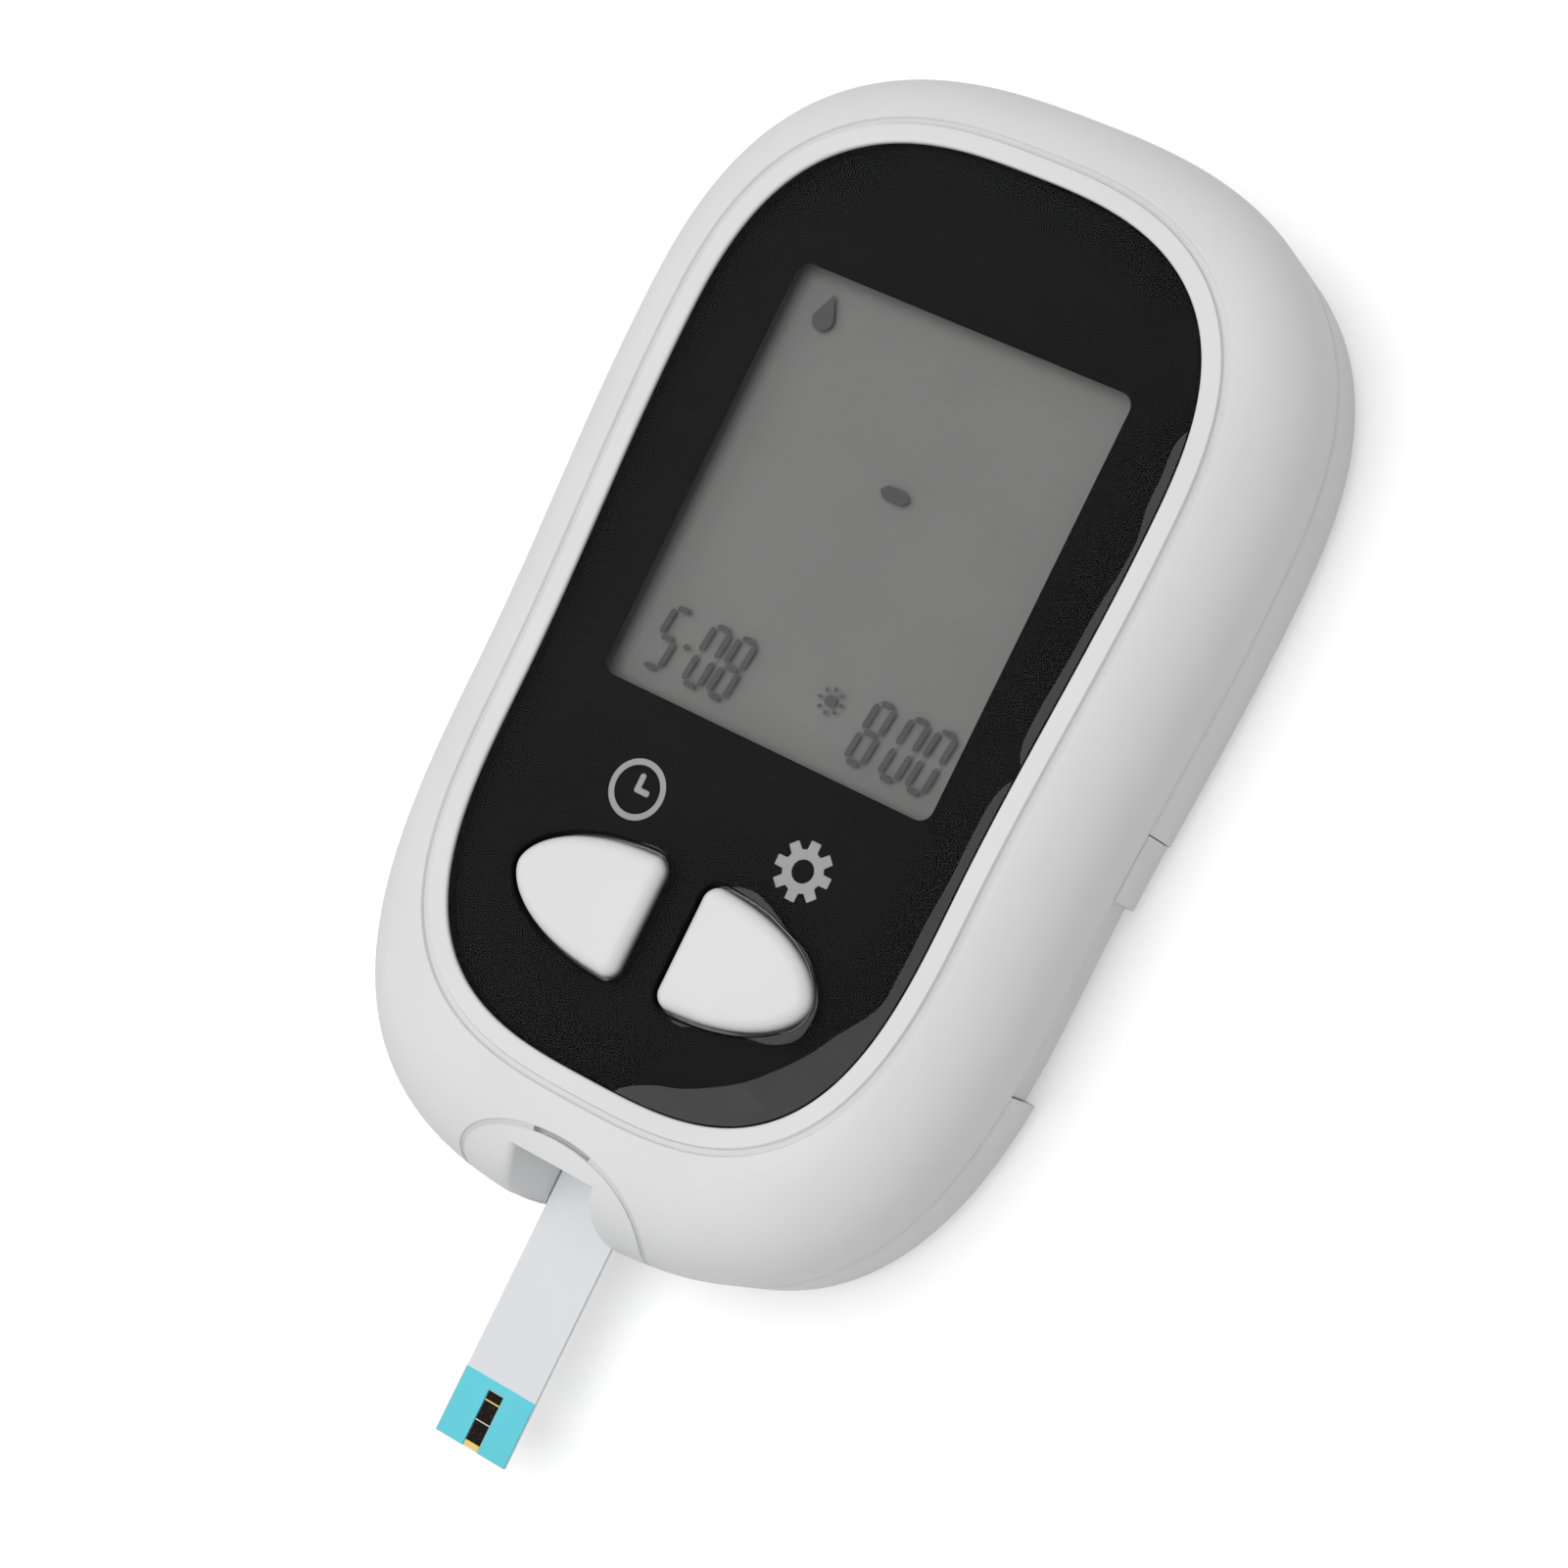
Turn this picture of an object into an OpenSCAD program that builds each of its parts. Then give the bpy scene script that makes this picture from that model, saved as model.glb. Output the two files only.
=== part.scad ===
// Hand-held blood glucose meter lying on its back, with a test strip in its port.
// The origin lies on the back resting face, straight below the middle of the display.
// +X is the meter's right, +Y points to its top end and +Z out of the display.

/* [Housing] */
// Length of the housing, without the strip
body_length = 97; // [90:0.5:120]
// Width beside the display
body_width = 59; // [58:0.5:72]
// Width of the narrower grip below the display
grip_width = 56.9; // [56.5:0.1:70]
// Height from the resting face to the rim round the window
body_height = 19.8; // [19.4:0.1:24]
// Height of the parting line between the two shells
seam_height = 8.2; // [7.6:0.1:9]
// Radius of the soft shoulder between the front and the side
shoulder_radius = 7.8; // [5:0.1:8.2]
// Radius of the edge round the back
back_radius = 3.2; // [2.2:0.1:4]
// Wall of the two shells
shell_wall = 2; // [1.6:0.1:2.2]

/* [Window] */
// White margin beside the black window
side_margin = 7.6; // [6.8:0.1:8.4]
// White margin above the window
top_margin = 7.2; // [6.5:0.1:9]
// White chin below the window
chin_margin = 11.6; // [10.5:0.1:14]
// Thickness of the clear window
window_thickness = 1.4; // [1:0.1:1.8]
// How far the window lies below the rim
window_drop = 0.25; // [0.1:0.05:0.5]
// Visible width of the display
display_width = 31.2; // [28:0.1:32]
// Visible height of the display
display_height = 36.3; // [30:0.1:37]

/* [Buttons] */
// Length of one button, from its flat side to its tip
button_length = 12.4; // [10:0.1:13]
// Height of the flat side of a button
button_height = 10.6; // [8:0.1:11.5]
// Distance between the two flat sides
button_spacing = 3.6; // [3:0.1:6]
// How far a button stands out of the window
button_proud = 0.8; // [0.5:0.1:1.2]
// Travel of a button
button_travel = 0.35; // [0.2:0.05:0.35]

/* [Test strip] */
// Width of the strip
strip_width = 6.9; // [5:0.1:8.4]
// Length of the strip
strip_length = 33; // [30:0.5:36]
// How far the strip stands out of the bottom end
strip_reach = 19.8; // [16:0.1:24]

/* [Batteries] */
// Diameter of one cell
cell_diameter = 10.5; // [10:0.1:10.7]
// Length of one cell with its positive cap
cell_length = 44.5; // [40:0.1:45]
// Height of the battery door along the meter
door_height = 22.95; // [22.5:0.05:25]
// How far the door is set back from the resting face
door_set_back = 1; // [0.6:0.1:1.4]

/* [Hidden] */
$fn = 48;

// Colours
shell_white = "#e6e6e4";
window_black = "#1c1c1c";
film_grey = "#4c4c4c";
board_green = "#2f6b3c";
chip_black = "#26262a";
plated = "#c9c9c4";
gold = "#d8bf5c";
teal = "#62d2dc";

// Small overrun that keeps cut faces apart
over = 0.5;
// Gap between parts that are laid in or on each other
seat_gap = 0.1;

// Outline of the housing: superelliptic ends that share two centres
top_reach = 29.2;
low_reach = 36.6;
top_power = 2.72;
low_power = 2.94;
top_centre = 8.9;
top_end = top_centre + top_reach;
chin_end = top_end - body_length;
low_centre = chin_end + low_reach;
body_shape = [body_width / 2, grip_width / 2, top_reach, low_reach, top_power, low_power];
window_top_power = 2.8;
window_low_power = 3.1;
window_shape = [
    body_width / 2 - side_margin,
    grip_width / 2 - side_margin,
    top_reach - top_margin,
    low_reach - chin_margin,
    window_top_power,
    window_low_power
];

// Levels from the back upwards
door_wall = 1.4;
cell_radius = cell_diameter / 2;
cell_level = door_set_back + door_wall + seat_gap + cell_radius;
bay_top = cell_level + cell_radius + seat_gap;
bay_wall = 0.9;
bay_roof = 0.65;
board_bottom = bay_top + bay_roof + seat_gap;
board_thickness = 0.8;
board_top = board_bottom + board_thickness;
polarizer_thickness = 0.2;
glass_thickness = 0.7;
reflector_bottom = board_top + seat_gap;
rear_glass_bottom = reflector_bottom + polarizer_thickness;
front_glass_bottom = rear_glass_bottom + glass_thickness;
front_glass_top = front_glass_bottom + glass_thickness;

// Levels from the front downwards
tape_thickness = 0.15;
panel_thickness = 1.2;
window_top = body_height - window_drop;
window_bottom = window_top - window_thickness;
recess_floor = window_bottom - tape_thickness;
panel_bottom = recess_floor - panel_thickness;
opening_margin = 0.9;
opening_corner = 1;
film_thickness = 0.08;
film_inset = 0.35;
tape_inset = 0.4;

// The back shell's side wall stands in from the parting line and tapers downwards
seam_inset = 0.15;
back_draft = 0.3;
floor_level = 1.8;

// Groove round the window, measured outwards from the window's edge
groove_middle = 1.9;
groove_half = 0.4;
groove_depth = 0.45;

// Tongue of the front shell in the groove of the back shell
tongue_depth = 0.8;
tongue_outer = 1.1;
tongue_inner = 1.8;
tongue_gap = 0.1;

// Screws and bosses
housing_screw_x = 18.5;
housing_screw_top = 28.5;
housing_screw_low = chin_end + 15.9;
front_boss_radius = 2.6;
back_boss_radius = 3;
housing_screw_radius = 1;
housing_head_radius = 1.9;
housing_head_height = 1.4;
housing_head_seat = 6.4;
housing_screw_tip = 15.5;
boss_gap = 0.3;
board_screw_radius = 0.85;
board_head_radius = 1.6;
board_head_height = 1.1;
board_screw_length = 3.2;
board_boss_radius = 1.9;
board_screw_places = [[21.8, 8], [10.5, chin_end + 14.4]];
screw_fit = 0.03;
shank_clearance = 0.15;
head_clearance = 0.2;

// Buttons and switches
button_y = low_centre - 12.3;
button_corner = 1.4;
button_edge = 1.2;
button_gap = 0.2;
button_rise = 2.3;
button_taper = 1.8;
flange_thickness = 0.5;
flange_width = 0.9;
flange_gap = 0.05;
switch_x = button_spacing / 2 + 6.2;
switch_size = 4.5;
switch_height = 1.2;
plunger_radius = 1;
plunger_fit = 0.08;
plunger_proud = 0.4;
plunger_floor = 0.25;
stem_radius = 1.6;

// Strip, its port and its connector
strip_thickness = 0.3;
layer = 0.04;
cover_thickness = 0.12;
strip_clearance = 0.15;
port_floor = 0.6;
slot_bottom = seam_height + port_floor;
strip_bottom = slot_bottom + strip_clearance;
strip_top = strip_bottom + strip_thickness;
slot_top = strip_top + layer + cover_thickness + strip_clearance;
strip_end = chin_end - strip_reach;
strip_tail = strip_end + strip_length;
cover_length = 5.7;
reagent_width = 1.5;
reagent_length = 4.4;
reagent_gap = 0.05;
mouth_inset = 0.5;
track_inset = 0.4;
bare_length = 8.5;
port_half_width = 8.9;
port_half_depth = 5.1;
port_centre = chin_end + 1.35;
port_gap = 0.12;
notch_half = strip_width / 2 + 0.3;
notch_back = chin_end + 4.4;
flare_start = chin_end + 3.6;
flare_width = 2.6;
flare_length = 4;
connector_front = chin_end + 7.7;
connector_length = 10.2;
connector_width = strip_width + 5.5;
connector_back = connector_front + connector_length;
connector_floor = 1;
connector_roof = 0.8;
contact_heel = connector_back - 1.6;
contact_pitch = 1.25;
contact_count = 5;

// Battery bay and door
bay_centre = low_centre - 0.35;
cell_pitch = cell_diameter + 0.3;
bay_depth = 2 * cell_pitch + 0.2;
terminal_thickness = 0.4;
dimple_height = 0.8;
spring_length = 3;
bay_length = cell_length + dimple_height + spring_length + 2 * terminal_thickness;
bay_half = bay_length / 2;
door_high = bay_centre + door_height / 2;
door_low = bay_centre - door_height / 2;
door_gap = 0.1;
lip_length = 5.8;
lip_set_back = 0.1;
door_inset = 0.6;
ledge_level = door_set_back + door_wall + 0.05;
door_rib = 1.6;
rib_overlap = 0.7;
plate_half = 3.9;
tail_half = 1.4;
tail_clearance = 0.2;
spring_wire = 0.45;
spring_turns = 4;
spring_gap = 0.02;

// Points round a quarter of an outline, and along its waist
QUARTER_STEPS = 15;
WAIST_STEPS = 3;
ARC_STEP = 15;

// ---------- Outlines ----------

// Left half of an outline, from the middle of the top end to the middle of the chin.
// s = [half width at the top centre, half width at the low centre, reach up, reach down, powers]
function left_half(s) = concat(
    [for (i = [0 : QUARTER_STEPS])
        let (t = 90 * i / QUARTER_STEPS)
        [-s[0] * pow(sin(t), 2 / s[4]), top_centre + s[2] * pow(cos(t), 2 / s[4])]],
    [for (i = [1 : WAIST_STEPS])
        let (u = i / (WAIST_STEPS + 1))
        [-s[0] + (s[0] - s[1]) * (1 - cos(180 * u)) / 2, top_centre + (low_centre - top_centre) * u]],
    [for (i = [0 : QUARTER_STEPS])
        let (t = 90 * i / QUARTER_STEPS)
        [-s[1] * pow(cos(t), 2 / s[5]), low_centre - s[3] * pow(sin(t), 2 / s[5])]]
);

// The right half mirrors it, so that the ring runs counterclockwise seen from the front
function ring(s) =
    let (half = left_half(s), last = len(half) - 1)
    concat(half, [for (i = [last - 1 : -1 : 1]) [-half[i][0], half[i][1]]]);

// Moves each point of a closed ring outwards by d
function grown(points, d) =
    let (n = len(points))
    [for (i = [0 : n - 1])
        let (
            along = points[(i + 1) % n] - points[(i + n - 1) % n],
            out = [along[1], -along[0]] / norm(along)
        )
        points[i] + d * out];

function at_level(points, z) = [for (p = points) [p[0], p[1], z]];

body_ring = ring(body_shape);
window_ring = ring(window_shape);

// Right-hand button outline, counterclockwise, grown by d
function button_outline(d) =
    let (
        half = button_height / 2,
        flat = button_spacing / 2,
        corner = [for (a = [180 : -30 : 90])
            [flat + button_corner * (1 + cos(a)), half + button_corner * (sin(a) - 1)]],
        first = button_corner / button_length,
        curve = [for (i = [1 : 11])
            let (s = first + (1 - first) * sin(90 * i / 11))
            [flat + button_length * s, half * pow(max(0, 1 - pow(s, button_rise)), 1 / button_taper)]],
        upper = concat(corner, curve),
        last = len(upper) - 1,
        closed = concat(
            [for (i = [last : -1 : 0]) upper[i]],
            [for (i = [0 : last - 1]) [upper[i][0], -upper[i][1]]]
        )
    )
    [for (p = grown(closed, d)) [p[0], p[1] + button_y]];

// Solid through rings of equal count, listed from the lowest upwards
module loft(rings) {
    n = len(rings[0]);
    top = len(rings) - 1;
    sides = [for (k = [0 : top - 1], i = [0 : n - 1])
        let (a = k * n + i, b = k * n + (i + 1) % n)
        each [[a, a + n, b + n], [a, b + n, b]]];
    floor_face = [for (i = [0 : n - 1]) i];
    roof_face = [for (i = [n - 1 : -1 : 0]) top * n + i];
    polyhedron([for (r = rings) each r], concat([floor_face, roof_face], sides));
}

module plate(points, bottom, top) {
    translate([0, 0, bottom]) linear_extrude(top - bottom) polygon(points);
}

module block(low, high) {
    translate(low) cube(high - low);
}

module centred_slab(width, height, bottom, top) {
    block([-width / 2, -height / 2, bottom], [width / 2, height / 2, top]);
}

module rounded_plate(width, height, radius, bottom, top) {
    corners = [for (side = [[1, 1], [-1, 1], [-1, -1], [1, -1]], a = [0 : 15 : 90])
        let (turn = side[0] > 0 ? (side[1] > 0 ? 0 : 270) : (side[1] > 0 ? 90 : 180))
        [side[0] * (width / 2 - radius) + radius * cos(turn + a),
         side[1] * (height / 2 - radius) + radius * sin(turn + a)]];
    plate(corners, bottom, top);
}

// Passes children to both sides of the meter
module both_sides() {
    children();
    mirror([1, 0, 0]) children();
}

// ---------- Housing ----------

// Height of the shoulder at an inset from the housing's widest outline
function shoulder_level(inset) =
    inset >= shoulder_radius ? body_height
    : body_height - shoulder_radius + sqrt(pow(shoulder_radius, 2) - pow(shoulder_radius - inset, 2));

function shoulder_ring(points, body) =
    let (n = len(points))
    [for (i = [0 : n - 1])
        let (
            along = body[(i + 1) % n] - body[(i + n - 1) % n],
            out = [along[1], -along[0]] / norm(along),
            inset = (body[i] - points[i]) * out
        )
        [points[i][0], points[i][1], shoulder_level(inset)]];

// Outside of the front half: side wall, shoulder, groove and the rim round the window
module front_form() {
    high = [for (a = [0 : ARC_STEP : 60]) grown(body_ring, -shoulder_radius * (1 - cos(a)))];
    last = high[len(high) - 1];
    groove_edge = grown(window_ring, groove_middle + groove_half);
    blend = [for (k = [1, 2]) [for (i = [0 : len(last) - 1]) last[i] + (groove_edge[i] - last[i]) * k / 3]];
    loft(concat(
        [at_level(body_ring, seam_height)],
        [for (r = concat(high, blend, [groove_edge])) shoulder_ring(r, body_ring)],
        [
            at_level(grown(window_ring, groove_middle), body_height - groove_depth),
            at_level(grown(window_ring, groove_middle - groove_half), body_height),
            at_level(window_ring, body_height)
        ]
    ));
}

module front_cavity() {
    inner_radius = shoulder_radius - shell_wall;
    arc_level = body_height - shoulder_radius;
    steps = floor(asin((panel_bottom - arc_level) / inner_radius) / ARC_STEP);
    top_inset = shoulder_radius - sqrt(pow(inner_radius, 2) - pow(panel_bottom - arc_level, 2));
    loft(concat(
        [at_level(grown(body_ring, -shell_wall), seam_height - over)],
        [for (k = [0 : steps])
            at_level(
                grown(body_ring, -(shoulder_radius - inner_radius * cos(k * ARC_STEP))),
                arc_level + inner_radius * sin(k * ARC_STEP)
            )],
        [at_level(grown(body_ring, -top_inset), panel_bottom)]
    ));
}

// Back half of the housing, inset all round and raised from the resting face
module back_form(inset, rise, top = seam_height, radius = back_radius) {
    loft(concat(
        [for (a = [90 : -22.5 : 0])
            at_level(
                grown(body_ring, -(inset + seam_inset + back_draft + radius * (1 - cos(a)))),
                rise + radius * (1 - sin(a))
            )],
        [at_level(grown(body_ring, -(inset + seam_inset)), top)]
    ));
}

// A band right across the meter
module band(low_y, high_y, bottom, top) {
    block([-body_width, low_y, bottom], [body_width, high_y, top]);
}

module at_housing_screws() {
    both_sides() for (y = [housing_screw_top, housing_screw_low])
        translate([housing_screw_x, y, 0]) children();
}

module at_board_screws() {
    both_sides() for (place = board_screw_places) translate([place[0], place[1], 0]) children();
}

module drum(radius, bottom, top) {
    translate([0, 0, bottom]) cylinder(r = radius, h = top - bottom);
}

// Rim that keys the two shells together, broken where the door comes up to the parting line
module tongue(outer, inner, bottom, top) {
    difference() {
        plate(grown(body_ring, -outer), bottom, top);
        plate(grown(body_ring, -inner), bottom - over, top + over);
        band(door_low - 1, door_high + 1, bottom - over, top + over);
    }
}

function port_outline(d) =
    [for (a = [0 : 9 : 351])
        [(port_half_width + d) * cos(a), port_centre + (port_half_depth + d) * sin(a)]];

// Opening over the display, through the panel that carries the clear window and through its tape
module display_opening() {
    rounded_plate(display_width + 2 * opening_margin, display_height + 2 * opening_margin, opening_corner,
        panel_bottom - over, window_bottom + over);
}

module front_shell() {
    color(shell_white) difference() {
        union() {
            difference() {
                front_form();
                front_cavity();
            }
            tongue(tongue_outer, tongue_inner, seam_height - tongue_depth, seam_height + over);
            at_housing_screws() drum(front_boss_radius, seam_height + boss_gap, panel_bottom + over);
            at_board_screws() drum(board_boss_radius, board_top, panel_bottom + over);
        }
        plate(window_ring, recess_floor, body_height + over);
        display_opening();
        both_sides() plate(button_outline(button_gap), panel_bottom - over, recess_floor + over);
        plate(port_outline(0), seam_height - tongue_depth - over, body_height + over);
        at_housing_screws() drum(housing_screw_radius + screw_fit, 0, housing_screw_tip + over);
        at_board_screws()
            drum(board_screw_radius + screw_fit, 0, board_bottom + board_screw_length + boss_gap);
    }
}

// Tub for the cells, open towards the door and tied into the ribs above and below it
module bay_tub() {
    side = bay_half + bay_wall;
    block(
        [-side, door_low - rib_overlap, ledge_level],
        [side, door_high + rib_overlap, bay_top + bay_roof]
    );
}

module back_shell() {
    side = bay_half + bay_wall;
    color(shell_white) difference() {
        union() {
            difference() {
                back_form(0, 0);
                back_form(
                    shell_wall - seam_inset, floor_level,
                    seam_height + over, back_radius - shell_wall / 2
                );
            }
            bay_tub();
            intersection() {
                back_form(0, 0);
                band(door_high, door_high + door_rib, 0, seam_height);
            }
            intersection() {
                back_form(0, 0);
                band(door_low - door_rib, door_low, 0, seam_height);
            }
            at_housing_screws() drum(back_boss_radius, floor_level - over, seam_height);
        }
        // door opening: right across below the ledge, and up the sides beyond the tub
        band(door_low, door_high, -over, ledge_level);
        both_sides() block([side, door_low, -over], [body_width, door_high, seam_height + over]);
        block(
            [-bay_half, bay_centre - bay_depth / 2, -over],
            [bay_half, bay_centre + bay_depth / 2, bay_top]
        );
        tongue(tongue_outer - tongue_gap, tongue_inner + over, seam_height - tongue_depth - tongue_gap,
            seam_height + over);
        at_housing_screws() drum(housing_screw_radius + shank_clearance, -over, seam_height + over);
        at_housing_screws() drum(housing_head_radius + head_clearance, -over, housing_head_seat);
        // slots that let the terminals reach the board
        both_sides() for (y = [-1, 1])
            translate([bay_half - terminal_thickness / 2, bay_centre + y * cell_pitch / 2, 0])
                centred_slab(
                    terminal_thickness + tail_clearance, 2 * (tail_half + tail_clearance),
                    bay_top - over, bay_top + bay_roof + over
                );
    }
}

module battery_door() {
    inside_level = door_set_back + door_wall;
    inner_radius = 0.3;
    tab_width = 7;
    tab_spacing = 16;
    tab_thickness = 0.5;
    tab_height = 2.6;
    tab_y = bay_depth / 2 - tab_thickness / 2 - door_gap;
    lip_low = door_high - lip_length;
    color(shell_white) {
        difference() {
            union() {
                intersection() {
                    back_form(door_inset, door_set_back, seam_height - seam_inset, back_radius - door_inset);
                    band(door_low + door_gap, lip_low + over, 0, seam_height);
                }
                intersection() {
                    back_form(lip_set_back, lip_set_back, seam_height - seam_inset);
                    band(lip_low, door_high - door_gap, 0, seam_height);
                }
            }
            back_form(door_inset + door_wall, inside_level, seam_height + over, inner_radius);
        }
        // locating tabs that slide up inside the ends of the bay
        for (k = [-1 : 1], end = [-1, 1])
            translate([k * tab_spacing, bay_centre + end * tab_y, inside_level - over])
                centred_slab(tab_width, tab_thickness, 0, tab_height);
    }
}

// One side of the notch: straight behind, then flared in a quarter of an ellipse
function notch_side(side) = concat(
    [[side * notch_half, notch_back]],
    [for (a = [0 : 15 : 90])
        [side * (notch_half + flare_width * (1 - cos(a))), flare_start - flare_length * sin(a)]]
);

module strip_port_bezel() {
    cheek = 1.2;
    core_front = flare_start - 0.8;
    core_back = port_centre + port_half_depth + over;
    core_top = body_height - shoulder_radius + 3;
    right = notch_side(1);
    left = notch_side(-1);
    color(shell_white) difference() {
        intersection() {
            front_form();
            plate(port_outline(-port_gap), seam_height, body_height + over);
        }
        plate(
            concat(left, [for (i = [len(right) - 1 : -1 : 0]) right[i]]),
            slot_top - strip_clearance, body_height + over
        );
        // slot for the strip
        block(
            [-strip_width / 2 - strip_clearance, chin_end - over, slot_bottom],
            [strip_width / 2 + strip_clearance, core_back, slot_top]
        );
        // cored out behind the two cheeks
        both_sides() block(
            [notch_half + cheek, core_front, slot_bottom + cheek],
            [port_half_width - cheek, core_back, core_top]
        );
    }
}

// ---------- Window, film and buttons ----------

module display_window() {
    color(window_black) difference() {
        plate(grown(window_ring, -seat_gap), window_bottom, window_top);
        both_sides() plate(button_outline(button_gap), window_bottom - over, window_top + over);
    }
}

module window_tape() {
    color("#3a3a3a") difference() {
        plate(grown(window_ring, -tape_inset), recess_floor, window_bottom);
        display_opening();
        both_sides()
            plate(button_outline(button_gap + tape_inset), recess_floor - over, window_bottom + over);
    }
}

module protective_film() {
    color(film_grey) difference() {
        plate(grown(window_ring, -film_inset), window_top, window_top + film_thickness);
        both_sides() plate(button_outline(button_gap + film_inset), window_top - over, window_top + over);
    }
}

// Cap with a rounded edge, a flange behind the panel and a stem down to the switch
module button_cap() {
    top = window_top + button_proud;
    flange_top = panel_bottom - flange_gap;
    crown = [for (a = [0, 30, 60, 90])
        at_level(button_outline(-button_edge * (1 - cos(a))), top - button_edge * (1 - sin(a)))];
    color(shell_white) {
        loft(concat([at_level(button_outline(0), flange_top)], crown));
        plate(button_outline(flange_width), flange_top - flange_thickness, flange_top);
        translate([switch_x, button_y, 0])
            drum(stem_radius, board_top + switch_height + plunger_proud, flange_top);
    }
}

module right_button() {
    button_cap();
}

module left_button() {
    mirror([1, 0, 0]) button_cap();
}

module switch_body(side) {
    color(plated) difference() {
        translate([side * switch_x - switch_size / 2, button_y - switch_size / 2, board_top])
            cube([switch_size, switch_size, switch_height]);
        translate([side * switch_x, button_y, 0])
            drum(plunger_radius + plunger_fit, board_top + plunger_floor, board_top + switch_height + over);
    }
}

module switch_plunger(side) {
    low = board_top + plunger_floor + button_travel + seat_gap;
    color(chip_black) translate([side * switch_x, button_y, 0])
        drum(plunger_radius, low, board_top + switch_height + plunger_proud);
}

// ---------- Display ----------

lcd_width = display_width + 3.8;
lcd_height = display_height + 6.2;
film_width = display_width + 1.4;
film_height = display_height + 1.4;
rear_glass_height = display_height + 1.7;
holder_wall = 1.6;
holder_gap = 0.05;
zebra_gap = 0.2;

module lcd_front_polarizer() {
    color("#8c8f8a")
        centred_slab(film_width, film_height, front_glass_top, front_glass_top + polarizer_thickness);
}

module lcd_front_glass() {
    color("#a9b0a8") centred_slab(lcd_width, lcd_height, front_glass_bottom, front_glass_top);
}

module lcd_rear_glass() {
    color("#9aa39a") centred_slab(lcd_width, rear_glass_height, rear_glass_bottom, front_glass_bottom);
}

module lcd_reflector() {
    color("#7b7f7b") centred_slab(film_width, film_height, reflector_bottom, rear_glass_bottom);
}

module lcd_holder() {
    color("#d9d9d6") difference() {
        centred_slab(
            lcd_width + 2 * holder_wall, lcd_height + 2 * holder_wall,
            board_top, panel_bottom - holder_gap
        );
        centred_slab(
            lcd_width + 2 * seat_gap, lcd_height + 2 * seat_gap,
            board_top - over, panel_bottom + over
        );
    }
}

module zebra_strip(end) {
    width = (lcd_height - rear_glass_height) / 2 - 2 * zebra_gap;
    y = end * (rear_glass_height / 2 + zebra_gap + width / 2);
    color("#c9a3a3") block(
        [-display_width / 2, y - width / 2, board_top],
        [display_width / 2, y + width / 2, front_glass_bottom]
    );
}

// ---------- Circuit board ----------

board_edge = 3.6;
boss_clearance = 0.3;

module circuit_board() {
    color(board_green) difference() {
        intersection() {
            plate(grown(body_ring, -board_edge), board_bottom, board_top);
            band(connector_front, top_end, 0, body_height);
        }
        at_housing_screws() drum(front_boss_radius + boss_clearance, board_bottom - over, board_top + over);
        at_board_screws() drum(board_screw_radius + head_clearance, board_bottom - over, board_top + over);
    }
}

// Moulded chip under the board, with legs along two sides
module chip(place, width, height, thickness, legs) {
    leg_pitch = 1.27;
    leg_width = 0.4;
    leg_reach = 0.8;
    leg_height = 0.5;
    stand_off = 0.15;
    translate([place[0], place[1], 0]) {
        color(chip_black) centred_slab(width, height, board_bottom - thickness, board_bottom - stand_off);
        color(plated) for (k = [0 : legs - 1])
            translate([(k - (legs - 1) / 2) * leg_pitch, 0, 0])
                centred_slab(leg_width, height + 2 * leg_reach, board_bottom - leg_height, board_bottom);
    }
}

module processor_chip() {
    chip([2, 8], width = 10, height = 10, thickness = 1.5, legs = 7);
}

module amplifier_chip() {
    chip([-13.5, connector_back + 2.7], width = 5, height = 2.2, thickness = 1.5, legs = 3);
}

module memory_chip() {
    chip([14, 12], width = 5, height = 4, thickness = 1.6, legs = 4);
}

module clock_crystal() {
    radius = 1;
    length = 6;
    color(plated) translate([-9, 1.5, board_bottom - radius]) rotate([0, 90, 0])
        cylinder(r = radius, h = length, center = true);
}

module buzzer() {
    radius = 4.5;
    height = 3.4;
    sound_hole = 0.9;
    lid = 0.8;
    color(chip_black) translate([-12, 20, board_bottom - height]) difference() {
        drum(radius, 0, height);
        drum(sound_hole, -over, lid);
    }
}

module filter_capacitor() {
    color("#b8842c") translate([12.75, 21.4, 0]) centred_slab(3.5, 2.8, board_bottom - 1.8, board_bottom);
}

// A row of small parts, starting at a place on the underside of the board
module resistor_row(place, count) {
    pitch = 2.4;
    for (k = [0 : count - 1])
        translate([place[0] + pitch * k, place[1], 0])
            centred_slab(0.8, 1.6, board_bottom - 0.45, board_bottom);
}

module chip_resistors() {
    color("#3b3b3f") {
        resistor_row([-3.6, 18.3], 5);
        resistor_row([9.4, -5.7], 3);
    }
}

// ---------- Strip connector and strip ----------

module strip_connector() {
    half = connector_width / 2;
    slot_half = strip_width / 2 + strip_clearance;
    color("#efefe9") difference() {
        block([-half, connector_front, slot_bottom - connector_floor], [half, connector_back, board_bottom]);
        block(
            [-slot_half, connector_front - over, slot_bottom],
            [slot_half, strip_tail + 2 * strip_clearance, slot_top]
        );
        // chamber for the spring contacts
        block(
            [-strip_width / 2, connector_front + connector_floor, slot_top - seat_gap],
            [strip_width / 2, contact_heel, board_bottom - connector_roof]
        );
    }
}

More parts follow.
